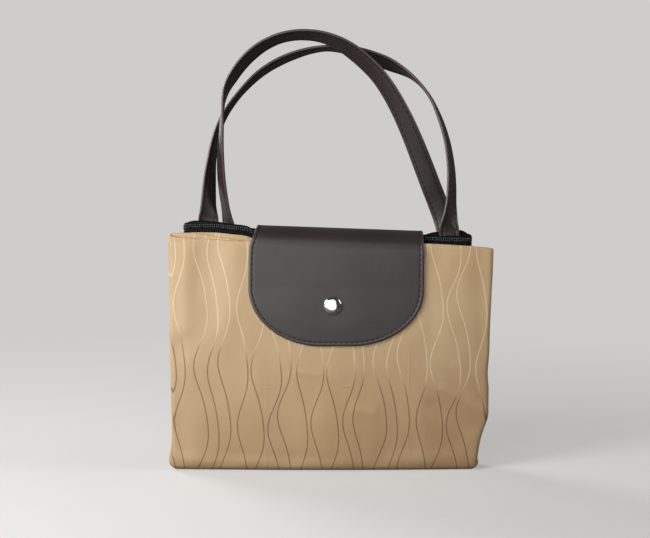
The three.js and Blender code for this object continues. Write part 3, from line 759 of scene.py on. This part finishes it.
tape_material, tree, shader = new_material("black_tape", linear(7, 8, 9), 0.8, Specular_IOR_Level=0.12)
calc = partial(maths, tree)
_, _, along_tape, up_tape = flat_place(tree, "tape")
twill_pitch = 0.9
twill = calc("ADD", along_tape, calc("MULTIPLY", up_tape, 1.2))
twill = calc("MULTIPLY_ADD", calc("SINE", calc("MULTIPLY", twill, 2 * math.pi / twill_pitch)), 0.5, 0.5)
fuzz = noise_at(tree, 900, 2)
tone = mix(tree, twill, linear(4, 5, 6), linear(13, 15, 17))
tone = mix(tree, calc("MULTIPLY", fuzz, 0.3), tone, linear(22, 25, 28))
wire(tree, shader, tone, ramp(tree, fuzz, 0.3, 0.8, 0.55, 0.72), add_bump(tree, twill, 0.00012, 0.7))

zip_tape = new_piece("zip_tape_band", tape_points, tape_faces, tape_material)
coil_side = 4  # the point of the profile whose line the tape's length is measured on
tape_run = np.repeat(length_along(zip_stack[:, coil_side]), profile_count)
store_uv(zip_tape, "tape", tape_run, np.stack(tape_height, 1).ravel())
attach(zip_tape, "root")
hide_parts("zip")

# Rows of small like pieces, such as coil loops and stitches, are set along a line at an even spacing.
# Each point of the line says which way its piece lies and which way it faces.
row_tree = bpy.data.node_groups.new("row_of_small_pieces", "GeometryNodeTree")
row_sockets = {}
for name, kind in (
    ("Line", "Geometry"), ("Spacing", "Float"), ("Small Piece", "Object"), ("Size Spread", "Float"),
    ("Seed", "Int"), ("Finish", "Material"),
):
    socket = row_tree.interface.new_socket(name=name, in_out="INPUT", socket_type="NodeSocket" + kind)
    row_sockets[name] = socket.identifier
row_tree.interface.new_socket(name="Row", in_out="OUTPUT", socket_type="NodeSocketGeometry")
row_node = partial(add_node, row_tree)
row_in = row_node("NodeGroupInput").outputs
curve = row_node("GeometryNodeMeshToCurve", {"Mesh": row_in["Line"]}).outputs["Curve"]
spaced = row_node("GeometryNodeCurveToPoints", {"Curve": curve, "Length": row_in["Spacing"]}, mode="LENGTH")
lies, faces_to = (
    row_node("GeometryNodeInputNamedAttribute", {"Name": name}, data_type="FLOAT_VECTOR").outputs["Attribute"]
    for name in ("lies", "faces")
)
laid = row_node("FunctionNodeAlignRotationToVector", {"Vector": lies}, axis="Z").outputs["Rotation"]
turned = row_node(
    "FunctionNodeAlignRotationToVector", {"Rotation": laid, "Vector": faces_to}, axis="Y", pivot_axis="Z"
).outputs["Rotation"]
least, most = (maths(row_tree, kind, 1.0, row_in["Size Spread"]) for kind in ("SUBTRACT", "ADD"))
spread = row_node("FunctionNodeRandomValue", {2: least, 3: most, "Seed": row_in["Seed"]}, data_type="FLOAT")
picked = row_node("GeometryNodeObjectInfo", {"Object": row_in["Small Piece"]}).outputs["Geometry"]
placed = row_node("GeometryNodeInstanceOnPoints", {
    "Points": spaced.outputs["Points"], "Instance": picked, "Rotation": turned, "Scale": spread.outputs[1]
}).outputs["Instances"]
real = row_node("GeometryNodeRealizeInstances", {"Geometry": placed}).outputs["Geometry"]
finished = row_node("GeometryNodeSetMaterial", {"Geometry": real, "Material": row_in["Finish"]})
row_node("NodeGroupOutput", {"Row": finished.outputs["Geometry"]})


def bent_rod(name, length, wide, tall, sink):
    """Small rod along Z, round at its ends, whose ends dip by sink towards -Y; sizes in millimetres."""
    around, along = 7, 6
    points = []
    for i in range(along + 1):
        angle = math.pi * i / along
        end = math.sin(angle) ** 0.6 if 0 < i < along else 0.05
        z = -math.cos(angle) * length / 2
        for j in range(around):
            turn = 2 * math.pi * j / around
            dip = sink * (2 * z / length) ** 2
            points.append((wide / 2 * end * math.cos(turn), tall / 2 * end * math.sin(turn) - dip, z))
    faces = ring_faces(0, along + 1, around, True)
    faces.append(tuple(range(around)))
    faces.append(tuple(range(along * around, (along + 1) * around))[::-1])
    return new_piece(name, points, facing_out(points, faces), tape_material)


def row_along(name, lines, small_piece, spacing, finish, seed, size_spread=0.04):
    """Sets small pieces along lines of (point, lies, faces) rows; returns the finished piece."""
    edges, start = [], 0
    for line in lines:
        edges += [(i, i + 1) for i in range(start, start + len(line) - 1)]
        start += len(line)
    points, lies, faces = zip(*(row for line in lines for row in line))
    mesh = bpy.data.meshes.new(name)
    mesh.from_pydata([tuple(p) for p in np.asarray(points) * 0.001], edges, [])
    for way, vectors in (("lies", lies), ("faces", faces)):
        layer = mesh.attributes.new(way, "FLOAT_VECTOR", "POINT")
        layer.data.foreach_set("vector", np.asarray(vectors, np.float32).ravel())
    guide = bpy.data.objects.new(name + "_line", mesh)
    scene.collection.objects.link(guide)
    modifier = guide.modifiers.new("row", "NODES")
    modifier.node_group = row_tree
    for socket, value in (
        ("Spacing", spacing * 0.001), ("Small Piece", small_piece), ("Size Spread", size_spread),
        ("Seed", seed), ("Finish", finish),
    ):
        modifier[row_sockets[socket]] = value
    made = bpy.data.meshes.new_from_object(guide.evaluated_get(bpy.context.evaluated_depsgraph_get()))
    made.name = name
    made.polygons.foreach_set("use_smooth", [True] * len(made.polygons))
    piece = bpy.data.objects.new(name, made)
    scene.collection.objects.link(piece)
    guide.modifiers.clear()
    bpy.data.objects.remove(guide)
    return piece


coil_material, tree, shader = new_material("black_coil", linear(20, 25, 29), 0.3, Specular_IOR_Level=0.7)
wear = ramp(tree, noise_at(tree, 320, 3), 0.35, 0.75)
tone = mix(tree, wear, linear(18, 23, 26), linear(40, 48, 53))
normal = add_bump(tree, noise_at(tree, 1500, 2), 0.00004, 0.4)
wire(tree, shader, tone, ramp(tree, wear, 0, 1, 0.26, 0.36), normal)

# Two rows of loops, each leaning a little: share of the coil's height, and lean
coil_lines = []
for height_share, slant in ((0.30, 0.10), (0.70, -0.10)):
    face_points, _ = pouch_row("back", 0, coil_edge)
    inside_points, _ = pouch_row("back", 0, 0.0)
    mouth = mouth_height(face_points[:, 0]) + zip_seat
    face_points[:, 2] = mouth + coil_low + (coil_high - coil_low) * height_share
    outwards = unit((face_points - inside_points) * np.array([1, 1, 0]))
    run = unit(np.gradient(face_points, axis=0))
    coil_lines.append([
        (place, np.array([0, 0, 1.0]) + slant * on, out) for place, out, on in zip(face_points, outwards, run)
    ])
coil_loop = bent_rod("coil_loop", 2.6, 0.98, 0.9, 0.12)
zip_coil = row_along("zip_coil", coil_lines, coil_loop, tooth_pitch, coil_material, seed=4, size_spread=0.02)
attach(zip_coil, "root")
bpy.data.objects.remove(coil_loop)


# Handles
# Two straps of smooth dark brown imitation leather, folded with their raw edges inside and stitched in
# two rows. The front one is sewn flat to the front face inside the zip's loops, the back one to the back.

strap_wide = 18
strap_thick = 3
half_width = strap_wide / 2
stitch_inset = 3.2
stitch_pitch = 5.0
edge_turn = 1.1  # how far in from its side the strap reaches its full thickness
edge_power = 2.6
groove_deep, groove_half = 0.30, 0.55
strap_steps = 380
sewn_length = 34  # of a strap's end on the bag
stitch_end = 4  # how far from a strap's end its stitches stop

# Centre line: x, y, z and turn of the outer face in degrees
handle_front_path = [
    (-103.9, 5.1, 172, 90), (-103.9, 3.7, 204, 90), (-103.9, 3.7, 219.5, 88), (-103.9, 3.8, 224.5, 74),
    (-103.9, 4.1, 229.5, 54), (-103.9, 4.6, 236.0, 43), (-103.4, 5.6, 247.8, 36), (-102.6, 7.4, 261.8, 29),
    (-101.2, 9.6, 275.8, 20), (-98.6, 11.2, 291.2, 15), (-95.2, 12.0, 303.2, 13), (-90.7, 12.3, 313.6, 12),
    (-84.8, 12.4, 323.2, 11), (-78.0, 12.3, 332.0, 10), (-69.8, 12.2, 341.2, 12), (-60.4, 12.0, 350.0, 15),
    (-52.0, 11.9, 356.2, 16), (-42.0, 11.8, 362.0, 17), (-29.2, 11.6, 367.6, 16), (-15.0, 11.4, 372.0, 12),
    (0.4, 11.2, 374.4, 9), (15.4, 11.0, 373.6, 15), (28.1, 10.8, 370.8, 25), (39.6, 10.4, 367.0, 32),
    (50.2, 10.0, 363.0, 34), (59.2, 9.6, 359.2, 29), (67.9, 9.1, 354.9, 17), (76.8, 8.5, 349.4, 5),
    (86.2, 7.7, 340.6, -3), (94.7, 6.9, 328.6, -8), (102.7, 6.0, 310.6, -14), (108.4, 5.4, 292.2, -18),
    (111.7, 4.8, 272.0, -23), (112.7, 4.2, 254.0, -28), (112.3, 3.8, 238.5, -33), (111.6, 3.6, 227.0, -46),
    (111.0, 3.6, 220.0, -62), (110.9, 3.6, 215.5, -76), (110.9, 3.7, 210.0, -87), (110.9, 3.8, 202, -90),
    (110.9, 5.1, 172, -90),
]
handle_back_path = [
    (-87.6, 13.5, 164, -90), (-87.6, 12.6, 186, -90), (-87.6, 12.3, 197, -87), (-87.6, 14.6, 207, -72),
    (-87.5, 17.4, 214, -50), (-87.5, 18.2, 220, -36), (-88.3, 16.4, 226.5, -28), (-89.5, 13.2, 234.5, -24),
    (-91.0, 9.0, 246.5, -24), (-92.1, 4.8, 260.2, -23), (-92.4, 0.6, 275.8, -21), (-91.9, -3.4, 290.7, -17),
    (-90.8, -6.6, 304.6, -12), (-89.7, -8.6, 317.6, -6), (-88.4, -9.6, 328.6, 3), (-85.9, -10.0, 337.8, 14),
    (-80.9, -10.2, 347.0, 23), (-73.5, -10.3, 357.4, 26), (-63.9, -10.4, 367.3, 27),
    (-53.4, -10.4, 375.0, 25), (-41.0, -10.3, 380.9, 23), (-28.7, -10.1, 383.8, 23),
    (-16.5, -9.8, 384.4, 24), (-4.3, -9.4, 383.0, 26), (6.9, -8.9, 379.6, 30), (17.6, -8.3, 374.2, 37),
    (27.2, -7.6, 367.6, 42), (36.4, -6.8, 359.8, 44), (46.6, -5.7, 349.4, 45), (57.3, -4.2, 334.4, 49),
    (67.9, -1.4, 315.5, 55), (78.0, 2.4, 293.8, 63), (86.8, 6.8, 272.6, 73), (94.6, 11.0, 253.1, 80),
    (101.4, 14.4, 236.5, 84), (106.8, 15.6, 222.0, 86), (109.8, 14.0, 209.5, 88), (111.0, 12.3, 197, 90),
    (111.3, 12.6, 186, 90), (111.6, 13.5, 164, 90),
]


def rounded_path(points, at):
    """Smooth path through points, as rows of an array; at runs from 0 to 1."""
    count = len(points) - 1
    place = at * count
    i = min(int(place), count - 1)
    before = points[i - 1] if i > 0 else 2 * points[0] - points[1]
    after = points[i + 2] if i + 2 <= count else 2 * points[count] - points[count - 1]
    p = [before, points[i], points[i + 1], after]
    gaps = [float(np.linalg.norm(b - a)) ** 0.5 for a, b in zip(p, p[1:])]
    least = 1e-4  # under this, two points of a path count as the same
    b = gaps[1] if gaps[1] >= least else 1.0
    a, c = (gap if gap >= least else b for gap in (gaps[0], gaps[2]))
    start = ((p[1] - p[0]) / a - (p[2] - p[0]) / (a + b) + (p[2] - p[1]) / b) * b
    end = ((p[2] - p[1]) / b - (p[3] - p[1]) / (b + c) + (p[3] - p[2]) / c) * b
    t = place - i
    third = -3 * p[1] + 3 * p[2] - 2 * start - end
    fourth = 2 * p[1] - 2 * p[2] + start + end
    return p[1] + start * t + third * t**2 + fourth * t**3


def strap_frames(path):
    """Centre, tangent, outer normal and width direction along a strap."""
    centres = np.array([row[:3] for row in path], float)
    turns = np.array([[row[3]] for row in path], float)
    ats = np.linspace(0, 1, strap_steps + 1)
    line = np.array([rounded_path(centres, at) for at in ats])
    angle = np.radians(np.array([rounded_path(turns, at)[0] for at in ats]))[:, None]
    tangent = unit(np.gradient(line, axis=0))
    outwards = unit(np.stack([-tangent[:, 2], 0 * tangent[:, 0], tangent[:, 0]], 1))
    aside = np.cross(outwards, tangent)
    normal = outwards * np.cos(angle) + aside * np.sin(angle)
    width = aside * np.cos(angle) - outwards * np.sin(angle)
    return line, tangent, normal, width


def strap_half_thickness(from_edge):
    """Half the strap's thickness by distance from its edge: a rounded side, a stitch groove and a crown."""
    turned = (edge_turn - np.minimum(from_edge, edge_turn)) / edge_turn
    rounded = np.clip(1 - turned**edge_power, 0, 1) ** (1 / edge_power)
    groove = groove_deep * bump(from_edge, stitch_inset, groove_half)
    crown = 1 - (1 - np.minimum(from_edge, half_width) / half_width) ** 2
    return (strap_thick / 2) * rounded * (0.68 + 0.30 * crown - 0.05 * bump(from_edge, 2.2, 0.9)) - groove


edge_steps = [0, 0.02, 0.1, 0.28, 0.6, 1.0, 1.6, 2.2, 2.7, 3.0, 3.2, 3.4, 3.7, 4.3, 5.4, 7.0]
strap_outline = [(half_width - d, float(strap_half_thickness(np.array(d)))) for d in edge_steps]
strap_outline += [(0, strap_thick / 2 * 0.98)]
strap_outline += [(-a, b) for a, b in strap_outline[:-1][::-1]]
strap_outline += [(a, -b) for a, b in strap_outline[1:-1][::-1]]

# Grain of the imitation leather: fine uneven pebbles over a slow unevenness
grain_group, given, result = new_group("leather_grain", [("Scale", 700)], ["Height", "Patches"])
calc = partial(maths, grain_group)
fed = {"Vector": own_place(grain_group), "Scale": given["Scale"], "Smoothness": 0.6}
pebbles = add_node(grain_group, "ShaderNodeTexVoronoi", fed, feature="SMOOTH_F1").outputs["Distance"]
fine = noise_at(grain_group, calc("MULTIPLY", given["Scale"], 0.5), 4)
feed(grain_group, result["Height"], calc("ADD", pebbles, calc("MULTIPLY", fine, 0.6)))
feed(grain_group, result["Patches"], ramp(grain_group, noise_at(grain_group, 16, 3), 0.32, 0.68))


def leather(name, dark, light, edge_tone_and_painted_highlight, roughness, edge_from, edge_to, unevenness):
    """Stitched imitation leather, paler and smoother along its edge, where the paler colour is partly rubbed
    edge and partly a painted highlight; edge limits are in millimetres.
    """
    material, tree, shader = new_material(name, dark, roughness, Specular_IOR_Level=0.95, Sheen_Weight=0.04)
    calc = partial(maths, tree)
    from_edge = add_node(tree, "ShaderNodeAttribute", attribute_name="from_edge").outputs["Fac"]
    grain = use_group(tree, grain_group, Scale=780.0)
    rub = ramp(tree, noise_at(tree, 60, 4), 0.35, 0.7)
    # The edge is painted paler: partly its rubbed edge, partly a painted highlight where the edge catches the
    # light
    edge = ramp(tree, from_edge, edge_from, edge_to, 1.0, 0.0)
    edge = calc("MULTIPLY", edge, calc("MULTIPLY_ADD", rub, 0.4, 0.6))
    colour = mix(tree, edge, mix(tree, grain["Patches"], dark, light), edge_tone_and_painted_highlight)
    # Painted shade: darker along the stitch groove, where shade falls
    groove = ramp(tree, calc("ABSOLUTE", calc("SUBTRACT", from_edge, stitch_inset)), 0.25, 0.9, 1.0, 0.0)
    colour = mix(tree, calc("MULTIPLY", groove, 0.28), colour, linear(22, 12, 12))
    gloss = calc("MULTIPLY_ADD", grain["Patches"], 0.07, roughness - 0.03)
    normal = add_bump(tree, rub, 0.0005, unevenness)
    normal = add_bump(tree, grain["Height"], 0.00007, 0.55, normal)
    wire(tree, shader, colour, calc("MULTIPLY_ADD", edge, -0.06, gloss), normal)
    return material


strap_leather = leather(
    "strap_leather", linear(34, 21, 19), linear(42, 27, 24), linear(84, 70, 66),
    roughness=0.47, edge_from=0.25, edge_to=1.1, unevenness=0.2,
)
thread_material, tree, shader = new_material("brown_thread", linear(24, 11, 16), 0.6, Specular_IOR_Level=0.2)
twist = noise_at(tree, 1800, 2)
tone = mix(tree, twist, linear(18, 8, 12), linear(36, 18, 24))
wire(tree, shader, tone, normal=add_bump(tree, twist, 0.00006, 0.6))

strap_stitch = bent_rod("strap_stitch", 3.7, 0.75, 0.6, 0.32)


def make_handle(name, node, path, seed):
    line, tangent, normal, width = strap_frames(path)
    points = np.concatenate([
        centre + np.array([a * w + b * n for a, b in strap_outline])
        for centre, n, w in zip(line, normal, width)
    ])
    count = len(strap_outline)
    faces = ring_faces(0, strap_steps + 1, count)
    end = strap_steps * count
    half = count // 2
    for j in range(1, half):
        faces.append((count - j, j, j - 1, (count - j + 1) % count))
        faces.append((end + (count - j + 1) % count, end + j - 1, end + j, end + count - j))
    strap = new_piece(name, points, facing_out(points, faces), strap_leather)
    from_edge = np.tile([half_width - abs(a) for a, _ in strap_outline], strap_steps + 1)
    store_number(strap, "from_edge", from_edge)
    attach(strap, "root")
    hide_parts(node)

    # Two rows of stitches on each face, and two rows across each sewn end, which follow the strap's profile
    run = length_along(line)
    lift = float(strap_half_thickness(np.array(stitch_inset))) + 0.1
    stitched = (run > stitch_end) & (run < run[-1] - stitch_end)
    row_from_middle = half_width - stitch_inset
    lines = []
    for way in (-1, 1):
        for face in (-1, 1):
            places = line + width * way * row_from_middle + normal * face * lift
            lines.append([(p, t, n * face) for p, t, n, on in zip(places, tangent, normal, stitched) if on])
    spots = np.linspace(-1, 1, 9) * row_from_middle
    tops = strap_half_thickness(half_width - np.abs(spots)) + 0.02
    for near in (stitch_end, sewn_length, run[-1] - stitch_end, run[-1] - sewn_length):
        i = int(np.argmin(np.abs(run - near)))
        for face in (-1, 1):
            lines.append([
                (line[i] + normal[i] * face * top + width[i] * spot, width[i], normal[i] * face)
                for top, spot in zip(tops, spots)
            ])
    stitches = row_along(name + "_stitches", lines, strap_stitch, stitch_pitch, thread_material, seed=seed)
    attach(stitches, "root")


make_handle("front_handle", "handle_front", handle_front_path, 11)
make_handle("back_handle", "handle_back", handle_back_path, 12)
bpy.data.objects.remove(strap_stitch)


# Flap
# Two layers of the same imitation leather sewn round their edge. It is sewn to the back of the bag, bends
# over the zip and lies down the front, where its round lower edge is held by the snap.

flap_thick = 1.8
flap_tilt = -0.036
flap_bottom = 112.8
corner_wide = 64
corner_tall = 50
flap_back_end = 152
flap_back_left, flap_back_right = -61.5, 86.5
back_corner = 14
back_gap = 0.5
bend_gap, front_gap = 2.2, 0.8  # from the bag's front to the flap, under the bend and lower down
edge_round = 0.85
flap_stitch_inset = 3.3
flap_stitch_pitch = 4.6
stitch_sink = 0.12
side_top = 204  # height over which the flap's sides run straight on
nudge = 0.01  # step along the flap between the two places that give its direction
cap_x = 6.6
cap_z = 148.6

# Inner face over the bend at x = 0: place in the list, y, z
flap_bend = [
    (0, 10.5, 203), (1, 10.8, 208.2), (2, 10.4, 211.8), (3, 8.6, 213.7), (4, 5.2, 214), (5, 1.5, 213.6),
    (6, -2.4, 212.4), (7, -6.4, 210.4), (8, -9.8, 207.6), (9, -12.6, 204.2), (10, -14.2, 199.8),
]
bend_start = flap_bend[0][2] - flap_back_end  # height of the stretch up the back
front_top_z = flap_bend[-1][2]
bend_y, bend_z = smooth_line(flap_bend, 1), smooth_line(flap_bend, 2)

# Side edges on the front and the bend: height, left, right
side_by_height = [
    (112, -67.3, 87), (169, -67.3, 87), (197, -66.5, 87.2), (204, -64.2, 87), (214, -60.6, 87.2),
]
left_by_height, right_by_height = smooth_line(side_by_height, 1), smooth_line(side_by_height, 2)


def flap_inner(q, x):
    """Inner face of the flap: q runs 0 to 1 up the back, 1 to 2 over the bend and 2 to 3 down the front."""
    x = np.asarray(x, float)
    if q <= 1:
        z = flap_back_end + bend_start * q
        return np.stack([x, back_face(z) + back_gap + 0 * x, z + flap_tilt * x * q], -1)
    if q <= 2:
        place = (q - 1) * 10
        return np.stack([x, bend_y(place) + 0 * x, bend_z(place) + flap_tilt * x], -1)
    f = q - 2
    z = front_top_z + (flap_bottom - front_top_z) * f + flap_tilt * x * (1 - f)
    gap = bend_gap - (bend_gap - front_gap) * min(1, f * 2.4)
    return np.stack([x, front_face(x, z) - gap, z], -1)


def flap_normal(q, x):
    """Direction out of the flap's face."""
    down = flap_inner(min(3, q + nudge), x) - flap_inner(max(0, q - nudge), x)
    return unit(np.stack([0 * down[..., 0], down[..., 2], -down[..., 1]], -1))


def inset_of_corner(over, wide, tall):
    f = np.clip((tall - over) / tall, 0, 1)
    return wide * (1 - math.sqrt(max(0, 1 - f * f)))


def flap_sides(q):
    """Left and right edge of the flap at one place along it."""
    if q <= 1:
        inset = inset_of_corner(bend_start * q, back_corner, back_corner)
        return flap_back_left + inset, flap_back_right - inset
    if q <= 2:
        z = float(bend_z((q - 1) * 10))
        blend = float(ease(np.array(q), 1.0, 1.15))
        left, right = float(left_by_height(max(side_top, z))), float(right_by_height(max(side_top, z)))
        left = float(left_by_height(z)) if q > 1.6 else left
        sides = ((flap_back_left, left), (flap_back_right, right))
        return tuple(below + (above - below) * blend for below, above in sides)
    z = front_top_z + (flap_bottom - front_top_z) * (q - 2)
    inset = inset_of_corner(z - flap_bottom, corner_wide, corner_tall)
    return float(left_by_height(z)) + inset, float(right_by_height(z)) - inset


front_fall = front_top_z - flap_bottom
corner_start = 2 + (front_fall - corner_tall) / front_fall
corner_turns = np.linspace(0, math.pi / 2, 46)
back_turns = np.linspace(0, math.pi / 2, 16)
q_rows = list((1 - np.cos(back_turns)) * back_corner / bend_start)
for low, high, steps in ((back_corner / bend_start, 1, 16), (1, 2, 41), (2, corner_start, 22)):
    q_rows += list(np.linspace(low, high, steps)[1:])
q_rows += [corner_start + (3 - corner_start) * math.sin(turn) for turn in corner_turns[1:]]
edge_distances = [0, 0.05, 0.15, 0.35, 0.65, 1.0, 1.5, 2.1, 2.7, 3.3, 3.9, 4.8, 6.2, 8.2]
between = np.linspace(0, 1, 72)[1:-1]


def flap_columns(left, right):
    """Places across one row, close together near both edges."""
    wide = right - left
    near = np.array(edge_distances) * min(1, wide / 30)
    middle = left + near[-1] + (wide - 2 * near[-1]) * between
    return np.concatenate([left + near, middle, (right - near)[::-1]])


flap_x = np.array([flap_columns(*flap_sides(q)) for q in q_rows])
flap_in = np.array([flap_inner(q, x) for q, x in zip(q_rows, flap_x)])
spine = np.array([flap_inner(q, 10.0) for q in q_rows])
flap_run = length_along(spine)
flap_out = np.array([flap_normal(q, x) for q, x in zip(q_rows, flap_x)])

# Distance of each place from the flap's edge, in its flat pattern
outline = [(flap_x[i, 0], flap_run[i]) for i in range(len(q_rows))]
outline += [(x, flap_run[-1]) for x in flap_x[-1, 1:]]
outline += [(flap_x[i, -1], flap_run[i]) for i in range(len(q_rows) - 2, -1, -1)]
outline += [(x, flap_run[0]) for x in flap_x[0, 1:-1][::-1]]
outline = np.array(outline)


def distance_to_outline(places):
    best = np.full(len(places), np.inf)
    for start, end in zip(outline, np.roll(outline, -1, 0)):
        best = np.minimum(best, segment_distance(*places.T, *start, *end))
    return best


flap_flat = np.stack([flap_x, np.repeat(flap_run[:, None], flap_x.shape[1], 1)], -1)
from_edge = distance_to_outline(flap_flat.reshape(-1, 2)).reshape(flap_x.shape)
to_round = edge_round - np.minimum(from_edge, edge_round)
rounding = edge_round - np.sqrt(np.clip(edge_round**2 - to_round**2, 0, None))
swell = 0.5 * (soft_noise(flap_x, flap_flat[..., 1], 44, 5.5) + 0.55) * ease(from_edge, 4, 24)
swell = swell * ease(flap_flat[..., 1], 70, 110)
snap_dip = 0.35 * bump(np.hypot(flap_x - cap_x, flap_in[..., 2] - cap_z), 0, 13)
raised = 0.22 * ease(from_edge, 0.3, 1.4) * (1 - ease(from_edge, 2.4, 3.2))
stitched_in = 0.20 * bump(from_edge, flap_stitch_inset, 0.6)
outer_offset = flap_thick - rounding + raised - stitched_in + swell - snap_dip * ease(swell, 0, 0.2)
inner_offset = np.minimum(rounding, flap_thick / 2) + np.maximum(swell - 0.2, 0)
flap_outer, flap_inside = (
    flap_in + flap_out * np.where(from_edge < 1e-6, flap_thick / 2, offset)[..., None]
    for offset in (outer_offset, inner_offset)
)

# Both faces share their points on the rim
flap_rows_count, flap_wide = flap_x.shape
on_rim = np.ones(flap_x.shape, bool)
on_rim[1:-1, 1:-1] = False
outer_index = np.arange(flap_x.size).reshape(flap_x.shape)
inner_index = np.where(on_rim, outer_index, 0)
inner_index[~on_rim] = flap_x.size + np.arange((~on_rim).sum())
flap_points = np.concatenate([flap_outer.reshape(-1, 3), flap_inside[~on_rim]])
flap_faces = []
for r in range(flap_rows_count - 1):
    for i in range(flap_wide - 1):
        for index, flip in ((outer_index, False), (inner_index, True)):
            face = (index[r, i], index[r + 1, i], index[r + 1, i + 1], index[r, i + 1])
            flap_faces.append(tuple(int(v) for v in (face[::-1] if flip else face)))
flap_leather = leather(
    "flap_leather", linear(34, 21, 20), linear(40, 26, 25), linear(58, 45, 44),
    roughness=0.5, edge_from=0.6, edge_to=3.0, unevenness=0.12,
)
flap = new_piece("closing_flap", flap_points, facing_out(flap_points, flap_faces), flap_leather)
edge_of_point = np.concatenate([from_edge.ravel(), from_edge[~on_rim]])
store_number(flap, "from_edge", edge_of_point)
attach(flap, "root")
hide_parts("flap")

# Line of the stitches, inside the edge, on the outer face
turning = unit(np.roll(outline, -1, 0) - np.roll(outline, 1, 0))
inwards = np.stack([turning[:, 1], -turning[:, 0]], 1)
middle_of_flap = np.array([12.0, flap_run[-1] / 2])
some_edge = 20
if ((middle_of_flap - outline[some_edge]) @ inwards[some_edge]) < 0:
    inwards = -inwards
sewing = outline + inwards * flap_stitch_inset
sewing = sewing[distance_to_outline(sewing) > flap_stitch_inset - 0.08]
q_at = smooth_line(list(zip(flap_run, q_rows)))

sewn_q = [float(q_at(run)) for _, run in sewing]
stitch_outs = [flap_normal(q, x) for q, (x, _) in zip(sewn_q, sewing)]
stitch_places = np.array([
    flap_inner(q, x) + out * (flap_thick - stitch_sink) for q, (x, _), out in zip(sewn_q, sewing, stitch_outs)
])
stitch_ways = unit(np.gradient(stitch_places, axis=0))
flap_stitch = bent_rod("flap_stitch", 3.4, 0.75, 0.6, 0.3)
sewn_line = list(zip(stitch_places, stitch_ways, stitch_outs))
flap_stitches = row_along(
    "flap_stitches", [sewn_line], flap_stitch, flap_stitch_pitch, thread_material, seed=21
)
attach(flap_stitches, "root")
bpy.data.objects.remove(flap_stitch)


# Snap cap
# The pressed cap of the snap, polished and chromed, with a nearly flat face and a rolled edge. Its socket
# is riveted through the flap, and the cap is seated on the flap's face.

cap_sides = 72
cap_gap = 0.45  # from the flap's face to the cap's middle plane
lean_reach = 5  # how far over and under the cap the front's lean is measured


def front_under_cap(z):
    return float(front_face(np.array(cap_x), np.array(z)))


slope = front_under_cap(cap_z + lean_reach) - front_under_cap(cap_z - lean_reach)
lean = math.atan2(slope, 2 * lean_reach)
off = front_gap + flap_thick + cap_gap
cap_centre = np.array([cap_x, front_under_cap(cap_z) - off / math.cos(lean), cap_z])
cap_out = np.array([0, -math.cos(lean), math.sin(lean)])
cap_up = np.array([0, math.sin(lean), math.cos(lean)])

# Profile of the cap: radius, height over its middle plane
cap_profile = [
    (6.6, -0.15), (7.4, -0.05), (7.85, 0.2), (8.1, 0.7), (8.05, 1.15), (7.8, 1.55), (7.35, 1.9),
    (6.6, 2.35), (6.1, 2.66), (5.7, 2.88), (5.3, 3.0), (4.6, 3.11), (3.4, 3.21), (2.0, 3.28), (0.7, 3.3),
]
cap_turns = [2 * math.pi * j / cap_sides for j in range(cap_sides)]
cap_points = [
    cap_centre + np.array([math.cos(turn), 0, 0]) * radius + cap_up * math.sin(turn) * radius
    + cap_out * height
    for radius, height in cap_profile for turn in cap_turns
]
cap_faces = ring_faces(0, len(cap_profile), cap_sides)
cap_faces.append(tuple(range(cap_sides))[::-1])
cap_faces.append(tuple(range((len(cap_profile) - 1) * cap_sides, len(cap_profile) * cap_sides)))
chrome, tree, shader = new_material("polished_chrome", (0.80, 0.81, 0.83, 1), 0.1, Metallic=1.0)
haze = ramp(tree, noise_at(tree, 500, 4), 0.3, 0.8)
tone = mix(tree, haze, (0.84, 0.85, 0.87, 1), (0.74, 0.75, 0.77, 1))
normal = add_bump(tree, noise_at(tree, 220, 2), 0.00005, 0.2)
wire(tree, shader, tone, ramp(tree, haze, 0, 1, 0.06, 0.16), normal)
snap = new_piece("snap_dome", cap_points, facing_out(cap_points, cap_faces), chrome)
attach(snap, "root")
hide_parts("snap_cap")
